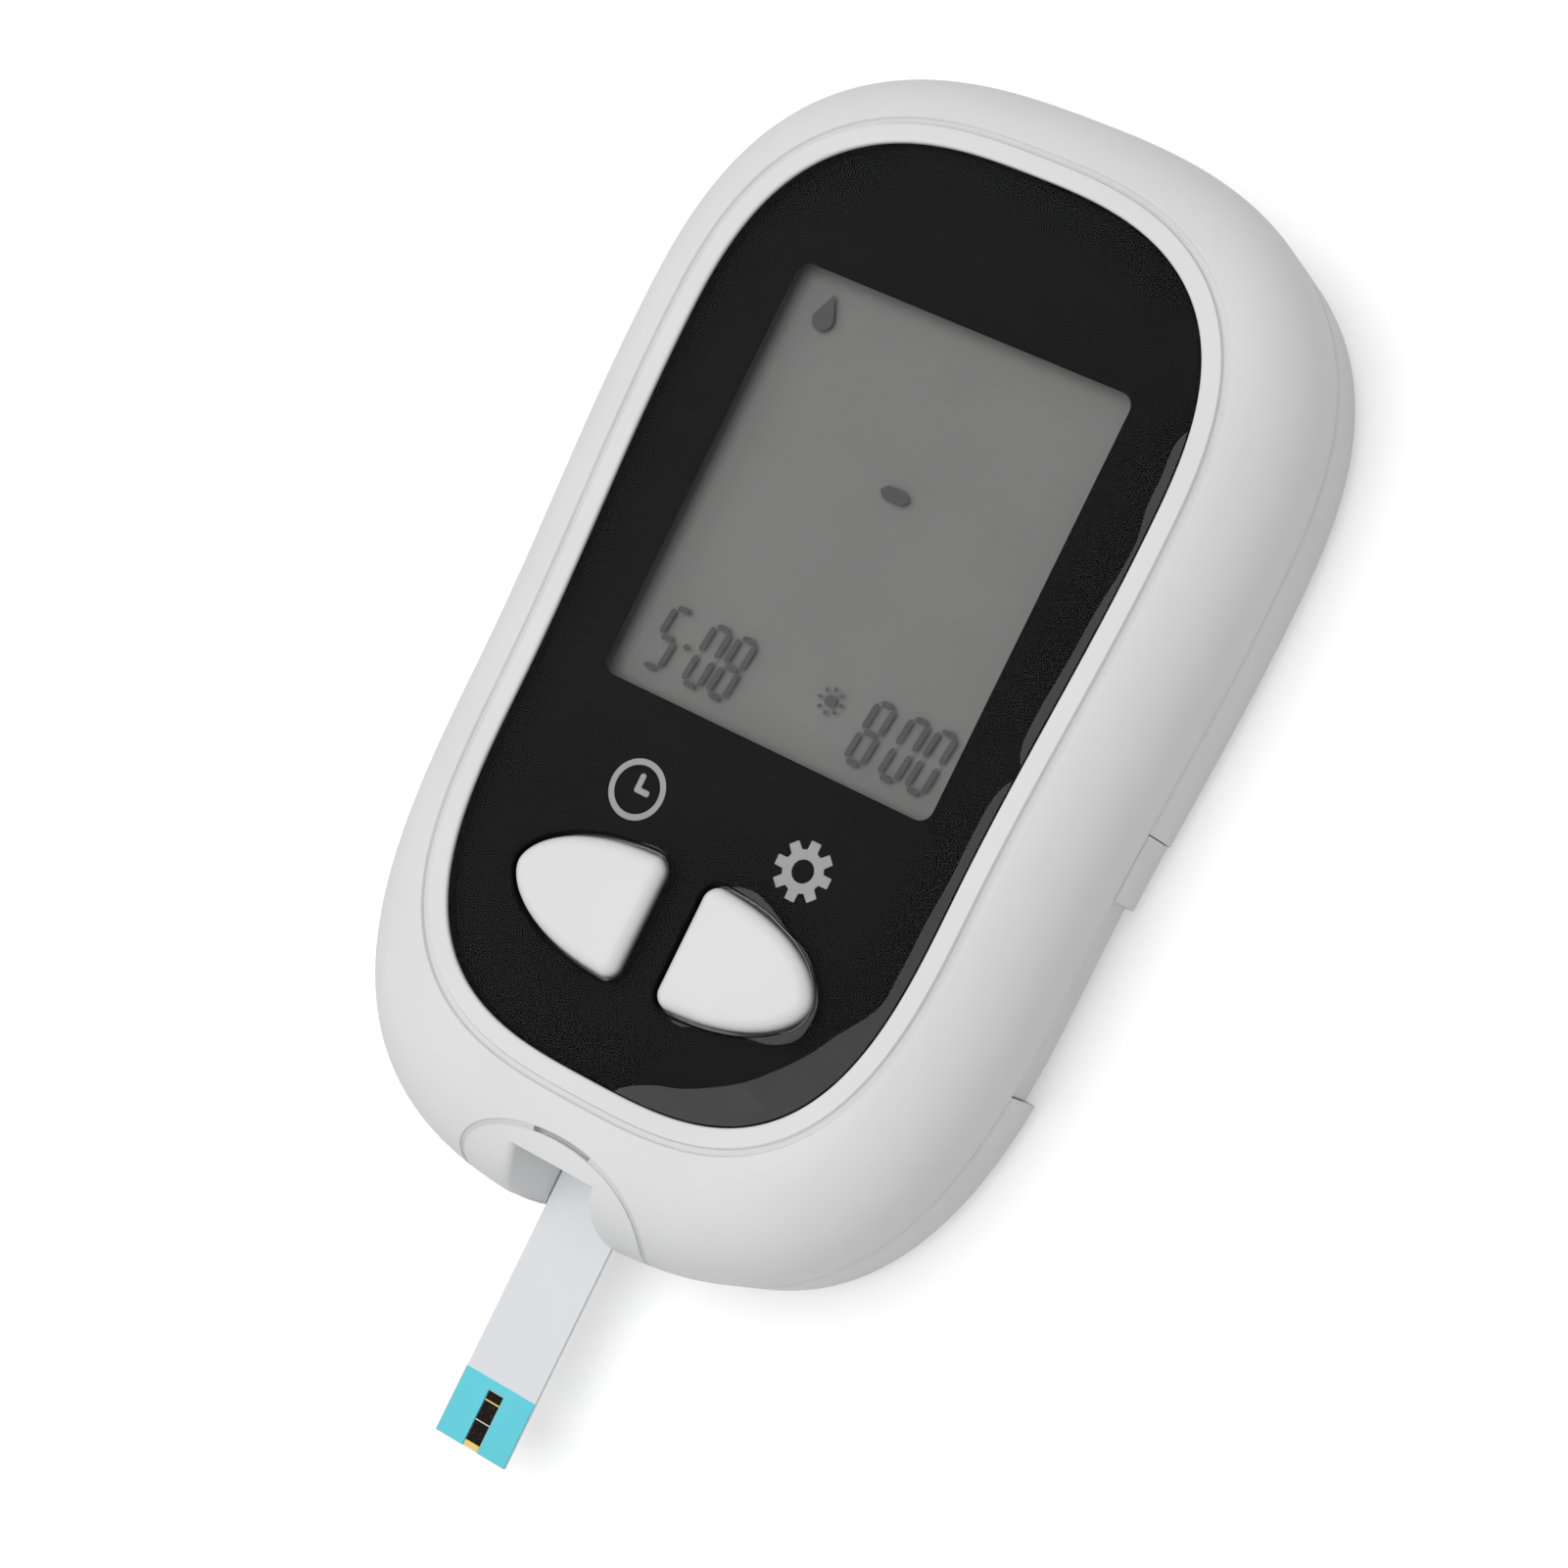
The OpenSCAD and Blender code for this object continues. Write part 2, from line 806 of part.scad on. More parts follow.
// Leaf springs that press on the strip's tracks
module strip_contacts() {
    leaf = 0.2;
    leaf_width = 0.5;
    top = board_bottom - connector_roof - leaf - seat_gap;
    touch = strip_top + layer + 0.03;
    bend = connector_front + 3.2;
    nose = bend - 1.2;
    nose_rise = 0.65;
    for (k = [0 : contact_count - 1])
        color(gold) translate([(k - (contact_count - 1) / 2) * contact_pitch + leaf_width / 2, 0, 0])
            rotate([90, 0, -90]) linear_extrude(leaf_width)
                polygon([
                    [-contact_heel, top], [-contact_heel, top + leaf], [-bend, touch + leaf],
                    [-nose, touch + nose_rise + leaf], [-nose, touch + nose_rise], [-bend, touch]
                ]);
}

module strip_base() {
    color("#f2f2f4")
        block([-strip_width / 2, strip_end, strip_bottom], [strip_width / 2, strip_tail, strip_top]);
}

// Printed tracks from the reaction zone to the contacts
module strip_electrodes() {
    pitch = 0.275 * strip_width;
    track = 0.17 * strip_width;
    color(gold) for (k = [-1 : 1])
        block(
            [k * pitch - track / 2, strip_end + track_inset, strip_top],
            [k * pitch + track / 2, strip_tail - track_inset, strip_top + layer]
        );
}

module strip_insulation() {
    color("#eceef2") block(
        [-strip_width / 2, strip_end + cover_length, strip_top + layer],
        [strip_width / 2, strip_tail - bare_length, strip_top + 2 * layer]
    );
}

module strip_cover() {
    color(teal) difference() {
        block(
            [-strip_width / 2, strip_end, strip_top + layer],
            [strip_width / 2, strip_end + cover_length, strip_top + layer + cover_thickness]
        );
        block(
            [-reagent_width / 2, strip_end - over, strip_top],
            [reagent_width / 2, strip_end + mouth_inset + reagent_length, strip_top + over]
        );
    }
}

module strip_reagent() {
    low_y = strip_end + mouth_inset;
    half = reagent_width / 2 - reagent_gap;
    color("#241a14") block(
        [-half, low_y, strip_top + layer],
        [half, low_y + reagent_length - reagent_gap, strip_top + 2 * layer]
    );
}

// ---------- Batteries ----------

// One cell along X; side tells where its positive cap points
module cell(y, side) {
    cap_height = 1;
    cap_radius = 1.9;
    can = cell_length - cap_height;
    // the cap touches the dimple of its terminal
    cap_end = side * (bay_half - terminal_thickness - dimple_height);
    color("#c8cdd2") translate([cap_end, y, cell_level]) rotate([0, -side * 90, 0]) {
        cylinder(r = cap_radius, h = cap_height + 0.1);
        translate([0, 0, cap_height]) cylinder(r = cell_radius, h = can);
    }
}

module upper_cell() {
    cell(bay_centre + cell_pitch / 2, -1);
}

module lower_cell() {
    cell(bay_centre - cell_pitch / 2, 1);
}

// Conical coil on the negative end of a cell, one tube along a helix
module cell_spring(y, side) {
    rings_per_turn = 8;
    count = spring_turns * rings_per_turn;
    wide = 3.4;
    narrow = 1.9;
    rise = spring_length - spring_wire - seat_gap;
    base = bay_half - terminal_thickness - spring_wire / 2 - spring_gap;
    path = [for (i = [0 : count])
        let (u = i / count, a = 360 * i / rings_per_turn, r = wide + (narrow - wide) * u)
        [side * (base - rise * u), y + r * cos(a), cell_level + r * sin(a)]];
    sides = 6;
    points = [for (i = [0 : count])
        let (a = 360 * i / rings_per_turn, out = [0, cos(a), sin(a)], along = [side, 0, 0])
        for (k = [0 : sides - 1])
            path[i] + spring_wire / 2 * (cos(60 * k) * out + sin(60 * k) * along)];
    walls = [for (i = [0 : count - 1], k = [0 : sides - 1])
        let (a = i * sides + k, b = i * sides + (k + 1) % sides)
        each (side > 0 ? [[a, b, b + sides], [a, b + sides, a + sides]]
                       : [[a, b + sides, b], [a, a + sides, b + sides]])];
    first = [for (k = [0 : sides - 1]) side > 0 ? sides - 1 - k : k];
    last = [for (k = [0 : sides - 1]) count * sides + (side > 0 ? k : sides - 1 - k)];
    color(plated) polyhedron(points, concat([first, last], walls));
}

module upper_cell_spring() {
    cell_spring(bay_centre + cell_pitch / 2, 1);
}

module lower_cell_spring() {
    cell_spring(bay_centre - cell_pitch / 2, -1);
}

// Contact plate on an end wall of the bay, for the cells from low_y to high_y, with a tail to the board
module terminal(side, low_y, high_y, tail_y) {
    inner = bay_half - terminal_thickness;
    x0 = side > 0 ? inner : -bay_half;
    plate_top = bay_top - seat_gap;
    x1 = x0 + terminal_thickness;
    block([x0, low_y - plate_half, cell_level - plate_half], [x1, high_y + plate_half, plate_top]);
    block([x0, tail_y - tail_half, plate_top - over], [x1, tail_y + tail_half, board_bottom]);
}

module dimple(side, y) {
    inner = bay_half - terminal_thickness;
    translate([side * inner, y, cell_level]) rotate([0, -side * 90, 0])
        cylinder(r1 = 2, r2 = 1.4, h = dimple_height);
}

module cell_link_plate() {
    low = bay_centre - cell_pitch / 2;
    high = bay_centre + cell_pitch / 2;
    color(plated) {
        terminal(1, low, high, high);
        dimple(1, low);
    }
}

module positive_terminal() {
    y = bay_centre + cell_pitch / 2;
    color(plated) {
        terminal(-1, y, y, y);
        dimple(-1, y);
    }
}

module negative_terminal() {
    y = bay_centre - cell_pitch / 2;
    color(plated) terminal(-1, y, y, y);
}

// ---------- Fasteners ----------

// Pan head below, shank upwards; the head has a cross recess
module screw(radius, head_radius, head_height, seat, tip) {
    recess_width = 0.45;
    recess_length = 1.2 * head_radius;
    recess_top = seat - 0.4 * head_height;
    point = 0.6;
    difference() {
        union() {
            drum(head_radius, seat - head_height, seat);
            drum(radius, seat - over, tip - point);
            translate([0, 0, tip - point]) cylinder(r1 = radius, r2 = radius * 0.35, h = point);
        }
        for (a = [0, 90])
            rotate(a) centred_slab(recess_length, recess_width, seat - head_height - over, recess_top);
    }
}

module housing_screws() {
    color(plated) at_housing_screws()
        screw(housing_screw_radius, housing_head_radius, housing_head_height, housing_head_seat,
            housing_screw_tip);
}

module board_screws() {
    color(plated) at_board_screws()
        screw(board_screw_radius, board_head_radius, board_head_height, board_bottom,
            board_bottom + board_screw_length);
}

front_shell();
back_shell();
battery_door();
strip_port_bezel();
display_window();
window_tape();
protective_film();
left_button();
right_button();
switch_body(-1);  // left_switch
switch_body(1);  // right_switch
switch_plunger(-1);  // left_switch_plunger
switch_plunger(1);  // right_switch_plunger
lcd_front_polarizer();
lcd_front_glass();
lcd_rear_glass();
lcd_reflector();
lcd_holder();
zebra_strip(1);  // upper_zebra_strip
zebra_strip(-1);  // lower_zebra_strip
circuit_board();
processor_chip();
amplifier_chip();
memory_chip();
clock_crystal();
buzzer();
filter_capacitor();
chip_resistors();
strip_connector();
strip_contacts();
strip_base();
strip_electrodes();
strip_insulation();
strip_cover();
strip_reagent();
upper_cell();
lower_cell();
upper_cell_spring();
lower_cell_spring();
cell_link_plate();
positive_terminal();
negative_terminal();
housing_screws();
board_screws();
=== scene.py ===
import math

import bpy
import numpy as np
from mathutils import Matrix, Vector


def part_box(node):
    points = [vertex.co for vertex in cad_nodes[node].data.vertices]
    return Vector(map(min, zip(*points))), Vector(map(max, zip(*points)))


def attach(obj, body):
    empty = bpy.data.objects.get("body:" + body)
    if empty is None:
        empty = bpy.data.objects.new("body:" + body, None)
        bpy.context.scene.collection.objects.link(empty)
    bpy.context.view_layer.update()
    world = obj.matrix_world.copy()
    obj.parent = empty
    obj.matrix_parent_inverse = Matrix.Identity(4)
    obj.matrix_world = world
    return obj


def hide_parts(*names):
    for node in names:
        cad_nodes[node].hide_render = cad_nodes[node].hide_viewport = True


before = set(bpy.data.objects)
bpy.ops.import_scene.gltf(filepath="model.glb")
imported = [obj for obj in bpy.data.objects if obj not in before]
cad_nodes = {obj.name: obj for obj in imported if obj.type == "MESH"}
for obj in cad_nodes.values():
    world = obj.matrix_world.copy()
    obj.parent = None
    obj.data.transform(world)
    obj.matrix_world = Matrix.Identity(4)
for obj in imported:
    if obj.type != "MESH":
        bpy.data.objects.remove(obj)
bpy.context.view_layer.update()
mm = 0.001


# ---------- Camera ----------
# The photograph was taken from the meter's right side, looking down at about 65 degrees.
# The place and the three turns come from the outline of the meter in the photograph.

photo_size = 1601
focal_length_pixels = 4000
camera_place = (132.93, -22.68, 292.93)
camera_turns = {"X": -0.00859396, "Y": -0.440898, "Z": -0.455576}

camera_data = bpy.data.cameras.new("camera")
camera_data.sensor_width = 36
camera_data.lens = camera_data.sensor_width * focal_length_pixels / photo_size
camera_data.clip_start = 10 * mm
camera = bpy.data.objects.new("camera", camera_data)
bpy.context.scene.collection.objects.link(camera)
to_camera = (
    Matrix.Rotation(camera_turns["Z"], 3, "Z")
    @ Matrix.Rotation(camera_turns["X"], 3, "X")
    @ Matrix.Rotation(camera_turns["Y"], 3, "Y")
)
camera.matrix_world = Matrix.Translation(Vector(camera_place) * mm) @ to_camera.transposed().to_4x4()
bpy.context.scene.camera = camera


# ---------- Studio ----------
# A pale floor under a big soft lamp overhead and two weak ones, on the meter's left and in front of it.
# The floor keeps the meter's shadow; only its glow towards the camera makes it white.

bpy.context.scene.view_settings.view_transform = "Standard"


def wire(tree, from_socket, to_socket):
    """Links two sockets of a node tree."""
    tree.links.new(from_socket, to_socket)


def new_material(name):
    """An empty node material: its tree, its Principled shader and its output."""
    made = bpy.data.materials.new(name)
    made.use_nodes = True
    tree = made.node_tree
    shader = tree.nodes["Principled BSDF"]
    return made, tree, shader


def soft_lamp(name, place, aim, size, power):
    """Round soft lamp turned to its aim. It doesn't show in glossy surfaces."""
    lamp = bpy.data.lights.new(name, "AREA")
    lamp.shape = "DISK"
    lamp.size = size
    lamp.energy = power
    holder = bpy.data.objects.new(name, lamp)
    bpy.context.scene.collection.objects.link(holder)
    holder.location = place
    holder.rotation_euler = (Vector(aim) - Vector(place)).to_track_quat("-Z", "Y").to_euler()
    holder.visible_glossy = False


soft_lamp("left_softbox", (-0.62, 0.16, 0.52), (0, -0.01, 0), 0.35, 0.72)
soft_lamp("overhead_softbox", (0, 0, 0.9), (0, 0, 0), 0.7, 4.25)
soft_lamp("front_softbox", (0.05, -0.6, 0.65), (0, 0, 0), 0.5, 0.62)

world = bpy.data.worlds.new("studio_air")
bpy.context.scene.world = world
world.use_nodes = True
air = world.node_tree
room = air.nodes["Background"]
room.inputs["Color"].default_value = (1, 1, 1, 1)
room.inputs["Strength"].default_value = 0.3
white_room = air.nodes.new("ShaderNodeBackground")
white_room.inputs["Color"].default_value = (1, 1, 1, 1)
white_room.inputs["Strength"].default_value = 1
ray = air.nodes.new("ShaderNodeLightPath")
seen = air.nodes.new("ShaderNodeMath")
seen.operation = "MAXIMUM"
mirrored = air.nodes.new("ShaderNodeMath")
mirrored.operation = "MAXIMUM"
choose = air.nodes.new("ShaderNodeMixShader")
wire(air, ray.outputs["Is Camera Ray"], seen.inputs[0])
wire(air, ray.outputs["Is Glossy Ray"], seen.inputs[1])
wire(air, seen.outputs[0], mirrored.inputs[0])
wire(air, ray.outputs["Is Transmission Ray"], mirrored.inputs[1])
wire(air, mirrored.outputs[0], choose.inputs["Fac"])
wire(air, room.outputs[0], choose.inputs[1])
wire(air, white_room.outputs[0], choose.inputs[2])
wire(air, choose.outputs[0], air.nodes["World Output"].inputs["Surface"])


def mesh_piece(name, points, faces):
    """A new object from points in metres and faces."""
    mesh = bpy.data.meshes.new(name)
    mesh.from_pydata([tuple(p) for p in points], [], faces)
    mesh.validate()
    made = bpy.data.objects.new(name, mesh)
    bpy.context.scene.collection.objects.link(made)
    return made


floor_half = 0.7
floor_corners = [(x * floor_half, y * floor_half, 0) for x, y in ((-1, -1), (1, -1), (1, 1), (-1, 1))]
floor = mesh_piece("floor", floor_corners, [(0, 1, 2, 3)])
floor_paper, floor_tree, floor_shader = new_material("white_floor")
floor_shader.inputs["Base Color"].default_value = (0.86, 0.86, 0.86, 1)
floor_shader.inputs["Roughness"].default_value = 0.9
floor_shader.inputs["Specular IOR Level"].default_value = 0
floor_glow = floor_tree.nodes.new("ShaderNodeEmission")
floor_glow.inputs["Strength"].default_value = 0.34
floor_sum = floor_tree.nodes.new("ShaderNodeAddShader")
floor_ray = floor_tree.nodes.new("ShaderNodeLightPath")
floor_choice = floor_tree.nodes.new("ShaderNodeMixShader")
wire(floor_tree, floor_shader.outputs[0], floor_sum.inputs[0])
wire(floor_tree, floor_glow.outputs[0], floor_sum.inputs[1])
wire(floor_tree, floor_ray.outputs["Is Camera Ray"], floor_choice.inputs["Fac"])
wire(floor_tree, floor_shader.outputs[0], floor_choice.inputs[1])
wire(floor_tree, floor_sum.outputs[0], floor_choice.inputs[2])
wire(floor_tree, floor_choice.outputs[0], floor_tree.nodes["Material Output"].inputs["Surface"])
floor.data.materials.append(floor_paper)


# ---------- Front shell ----------
# The upper half of the housing: one injection moulding in satin white ABS, with a soft shoulder,
# a shallow groove round the window and a recess that the window is taped into.

body_length = 97
body_height = 19.8
seam_height = 8.2
shoulder_radius = 7.8
shell_wall = 2
top_centre = 8.9
top_reach = 29.2
low_reach = 36.6
chin_end = top_centre + top_reach - body_length
low_centre = chin_end + low_reach
window_top = 19.55
window_bottom = 18.15
recess_floor = 18.0
panel_bottom = 16.8
display_width = 31.2
display_height = 36.3


def outline(half_top, half_low, reach_top, reach_low, power_top, power_low, steps=60):
    """Closed outline in millimetres from the middle of the top end, counterclockwise: two superelliptic
    ends joined by an eased waist."""
    t = np.pi / 4 * (1 - np.cos(np.linspace(0, np.pi, steps + 1)))
    top = np.stack([
        -half_top * np.sin(t) ** (2 / power_top),
        top_centre + reach_top * np.cos(t) ** (2 / power_top),
    ], 1)
    u = np.linspace(0, 1, steps // 2 + 2)[1:-1]
    waist = np.stack([
        -half_top + (half_top - half_low) * (1 - np.cos(np.pi * u)) / 2,
        top_centre + (low_centre - top_centre) * u,
    ], 1)
    low = np.stack([
        -half_low * np.cos(t) ** (2 / power_low),
        low_centre - reach_low * np.sin(t) ** (2 / power_low),
    ], 1)
    left = np.concatenate([top, waist, low])
    return np.concatenate([left, (left * [-1, 1])[-2:0:-1]])


body_ring = outline(29.5, 28.45, top_reach, low_reach, 2.72, 2.94)
window_ring = outline(21.9, 20.85, 22, 25, 2.8, 3.1)


def outward(points):
    """Directions square to a closed outline whose points may be unevenly spaced."""
    before = points - np.roll(points, 1, 0)
    after = np.roll(points, -1, 0) - points
    along = before / (before**2).sum(1, keepdims=True) + after / (after**2).sum(1, keepdims=True)
    out = np.stack([along[:, 1], -along[:, 0]], 1)
    return out / np.linalg.norm(out, axis=1, keepdims=True)


def grown(points, distance):
    """The outline moved outwards by a distance."""
    return points + distance * outward(points)


def at_level(points, z):
    """Flat points raised to a height."""
    return np.column_stack([points, np.full(len(points), z)])


def shoulder_level(inset):
    """Height of the shoulder at an inset from the housing's widest outline."""
    inset = np.clip(inset, 0, shoulder_radius)
    return body_height - shoulder_radius + np.sqrt(shoulder_radius**2 - (shoulder_radius - inset) ** 2)


def round_rings(points, inset, level, across, up, turns):
    """Rings round an edge, at turns in degrees from its side at 0 to its flat at 90. Across and up are the
    edge's radius, and a negative one turns it outwards or downwards."""
    return [
        at_level(grown(points, -inset - across * (1 - math.cos(turn))), level - up * (1 - math.sin(turn)))
        for turn in np.radians(turns)
    ]


def on_shoulder(points, dip=0):
    """Points of a ring that follows the body's outline, put on the shoulder or a dip below it."""
    inset = ((body_ring - points) * outward(body_ring)).sum(1)
    return np.column_stack([points, shoulder_level(inset) - dip])


def loft(name, rings, hoop=False):
    """Closed solid through rings of equal count in millimetres, from the lowest upwards. A hoop joins its
    last ring to its first one instead of closing both ends."""
    count = len(rings[0])
    faces = []
    for k in range(len(rings) if hoop else len(rings) - 1):
        low = k * count
        high = (k + 1) % len(rings) * count
        for i in range(count):
            j = (i + 1) % count
            faces.append((low + i, low + j, high + j, high + i))
    if not hoop:
        faces.append(tuple(range(count - 1, -1, -1)))
        top = (len(rings) - 1) * count
        faces.append(tuple(range(top, top + count)))
    return mesh_piece(name, np.concatenate(rings) * mm, faces)


def prism(points, bottom, top, name="cutter"):
    """Upright solid of one outline between two levels."""
    return loft(name, [at_level(points, bottom), at_level(points, top)])


def combine(target, other, operation="DIFFERENCE"):
    """Cuts or joins two closed solids and leaves the result in target."""
    step = target.modifiers.new("combine", "BOOLEAN")
    step.operation = operation
    step.solver = "MANIFOLD"
    step.object = other
    result = bpy.data.meshes.new_from_object(target.evaluated_get(bpy.context.evaluated_depsgraph_get()))
    target.modifiers.clear()
    target.data = result
    bpy.data.objects.remove(other)
    return target


def rounded_box(width, height, radius, centre=(0, 0), steps=6):
    """Outline of a rectangle with round corners, counterclockwise."""
    a = np.linspace(0, np.pi / 2, steps + 1)
    arc = np.stack([np.cos(a), np.sin(a)], 1) * radius
    quarter = arc + [width / 2 - radius, height / 2 - radius]
    corners = [
        quarter,
        (quarter * [-1, 1])[::-1],
        quarter * [-1, -1],
        (quarter * [1, -1])[::-1],
    ]
    return np.concatenate(corners) + centre


def circle(x, y, radius, steps=40):
    """Outline of a circle, counterclockwise."""
    a = np.linspace(0, 2 * np.pi, steps, endpoint=False)
    return np.stack([x + radius * np.cos(a), y + radius * np.sin(a)], 1)


def dress(piece, body, material, replaced=(), sharp_above=35):
    """Shades a piece smoothly, paints it and ties it to its body."""
    piece.data.materials.clear()
    piece.data.materials.append(material)
    piece.data.shade_smooth()
    piece.data.set_sharp_from_angle(angle=math.radians(sharp_above))
    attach(piece, body)
    if replaced:
        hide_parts(*replaced)
    return piece


def noise(tree, scale, detail=2, roughness=0.5):
    """Noise in the piece's own space; scale is in features per metre."""
    place = tree.nodes.new("ShaderNodeTexCoord")
    texture = tree.nodes.new("ShaderNodeTexNoise")
    texture.inputs["Scale"].default_value = scale
    texture.inputs["Detail"].default_value = detail
    texture.inputs["Roughness"].default_value = roughness
    wire(tree, place.outputs["Object"], texture.inputs["Vector"])
    return texture


def shades(tree, texture, dark, light, low=0.35, high=0.65):
    """Turns a noise into a blend of two colours."""
    ramp = tree.nodes.new("ShaderNodeValToRGB")
    ramp.color_ramp.elements[0].position = low
    ramp.color_ramp.elements[0].color = (*dark, 1)
    ramp.color_ramp.elements[1].position = high
    ramp.color_ramp.elements[1].color = (*light, 1)
    wire(tree, texture.outputs["Fac"], ramp.inputs["Fac"])
    return ramp


def bump(tree, shader, texture, depth):
    """Turns a noise into fine relief; depth is in metres."""
    node = tree.nodes.new("ShaderNodeBump")
    node.inputs["Strength"].default_value = 1
    node.inputs["Distance"].default_value = depth
    wire(tree, texture.outputs["Fac"], node.inputs["Height"])
    wire(tree, node.outputs["Normal"], shader.inputs["Normal"])


def uneven_sheen(tree, shader, scale, low, high):
    """Lets the roughness wander between two values."""
    sheen = tree.nodes.new("ShaderNodeMapRange")
    sheen.inputs["To Min"].default_value = low
    sheen.inputs["To Max"].default_value = high
    wire(tree, noise(tree, scale).outputs["Fac"], sheen.inputs["Value"])
    wire(tree, sheen.outputs["Result"], shader.inputs["Roughness"])


def moulded_plastic(name, colour, roughness, grain=0.0000025, spread=0.015):
    """Moulded plastic with a fine spark-eroded grain and a faint unevenness of tone and sheen."""
    made, tree, shader = new_material(name)
    dark = [c * (1 - spread) for c in colour]
    light = [min(1, c * (1 + spread)) for c in colour]
    tone = shades(tree, noise(tree, 90, 3), dark, light)
    wire(tree, tone.outputs["Color"], shader.inputs["Base Color"])
    uneven_sheen(tree, shader, 260, roughness - 0.04, roughness + 0.04)
    bump(tree, shader, noise(tree, 5200, 3, 0.6), grain)
    return made


groove_middle = 1.9
groove_half = 0.35
groove_depth = 0.3
rim_edge = 0.28
seam_edge = 0.1
seam_step = 0.3


def wall_rings(last_turn=60):
    """Outside of the wall from the parting line, where it stands back a little, up the shoulder's round
    to a last angle in degrees."""
    rings = round_rings(body_ring, seam_step, seam_height, seam_edge, -seam_edge, np.linspace(90, 0, 5))
    wall_bottom = seam_height + seam_edge
    wall_top = body_height - shoulder_radius
    for share in (0.2, 0.45, 0.7):
        rings.append(at_level(
            grown(body_ring, -seam_step * (1 - share) ** 2),
            wall_bottom + (wall_top - wall_bottom) * share,
        ))
    for a in range(0, last_turn + 1, 4):
        rings.append(on_shoulder(grown(body_ring, -shoulder_radius * (1 - math.cos(math.radians(a))))))
    return rings


def front_rings():
    """Outside of the front shell from the parting line up, over the groove and down into the recess."""
    rings = wall_rings()
    last = rings[-1][:, :2]
    groove_edge = grown(window_ring, groove_middle + groove_half)
    for share in np.linspace(0, 1, 11)[1:]:
        rings.append(on_shoulder(last + (groove_edge - last) * share))
    # Groove with sloping walls and a flat bottom: share of its half width, share of its depth
    half_profile = [(0.95, 0.1), (0.78, 0.5), (0.64, 0.9), (0.55, 1)]
    profile = half_profile + [(-across, down) for across, down in half_profile[::-1]] + [(-1, 0)]
    for across, down in profile:
        ring = grown(window_ring, groove_middle + groove_half * across)
        rings.append(on_shoulder(ring, groove_depth * down))
    rings += round_rings(window_ring, 0, body_height, -rim_edge, rim_edge, np.linspace(90, 0, 6))
    rings.append(at_level(window_ring, recess_floor))
    return rings


def front_cavity():
    """Hollow inside of the front shell, up to the panel under the window."""
    inner = shoulder_radius - shell_wall
    last_turn = math.degrees(math.asin((panel_bottom - body_height + shoulder_radius) / inner))
    rings = [at_level(grown(body_ring, -shell_wall), seam_height - 1)]
    turns = np.linspace(0, last_turn, 8)
    rings += round_rings(body_ring, shell_wall, body_height - shell_wall, inner, inner, turns)
    return loft("cavity", rings)


# Button outlines, shared by the shell, the window and the caps
button_length = 12.4
button_height = 10.6
button_spacing = 3.6
button_y = low_centre - 12.3
button_gap = 0.2


def button_outline(side, distance):
    """Outline of a button grown by a distance; side is 1 on the right and -1 on the left."""
    half = button_height / 2
    flat = button_spacing / 2
    corner = 1.4
    a = np.radians(np.linspace(180, 90, 9))
    start = np.stack([flat + corner * (1 + np.cos(a)), half + corner * (np.sin(a) - 1)], 1)
    first = corner / button_length
    s = first + (1 - first) * np.sin(np.linspace(0, np.pi / 2, 40)[1:])
    curve = np.stack([flat + button_length * s, half * np.maximum(0, 1 - s**2.3) ** (1 / 1.8)], 1)
    upper = np.concatenate([start, curve])
    closed = np.concatenate([upper[::-1], (upper * [1, -1])[:-1]])
    ring = grown(closed, distance) + [0, button_y]
    return ring if side > 0 else (ring * [-1, 1])[::-1]


def combine_buttons(piece, distance, bottom, top, operation="DIFFERENCE"):
    """Cuts or joins both button outlines, grown by a distance, between two levels."""
    for side in (-1, 1):
        combine(piece, prism(button_outline(side, distance), bottom, top), operation)


# Strip port: an upright elliptical cylinder through the chin
port_half_width = 8.9
port_half_depth = 5.1
port_centre = chin_end + 1.35


body_step = np.roll(body_ring, -1, 0) - body_ring
body_out = outward(body_ring)


def inset_at(x, y):
    """How far inside the housing's widest outline a place lies; 0 outside it."""
    share = np.clip((([x, y] - body_ring) * body_step).sum(1) / (body_step**2).sum(1), 0, 1)
    nearest = body_ring + share[:, None] * body_step
    gap = np.linalg.norm([x, y] - nearest, axis=1)
    closest = gap.argmin()
    inside = np.dot([x, y] - nearest[closest], body_out[closest]) < 0
    return float(gap[closest]) if inside else 0.0


def front_level(x, y):
    """Height of the front shell's outside at a place, before the groove."""
    return float(shoulder_level(inset_at(x, y)))


def level_below(x, y, depth):
    """Height at a depth under the front shell's outside, measured square to it."""
    inset = inset_at(x, y)
    if inset <= depth:
        return seam_height - 1
    reach = max(0.0, shoulder_radius - inset)
    return body_height - shoulder_radius + math.sqrt((shoulder_radius - depth) ** 2 - reach**2)


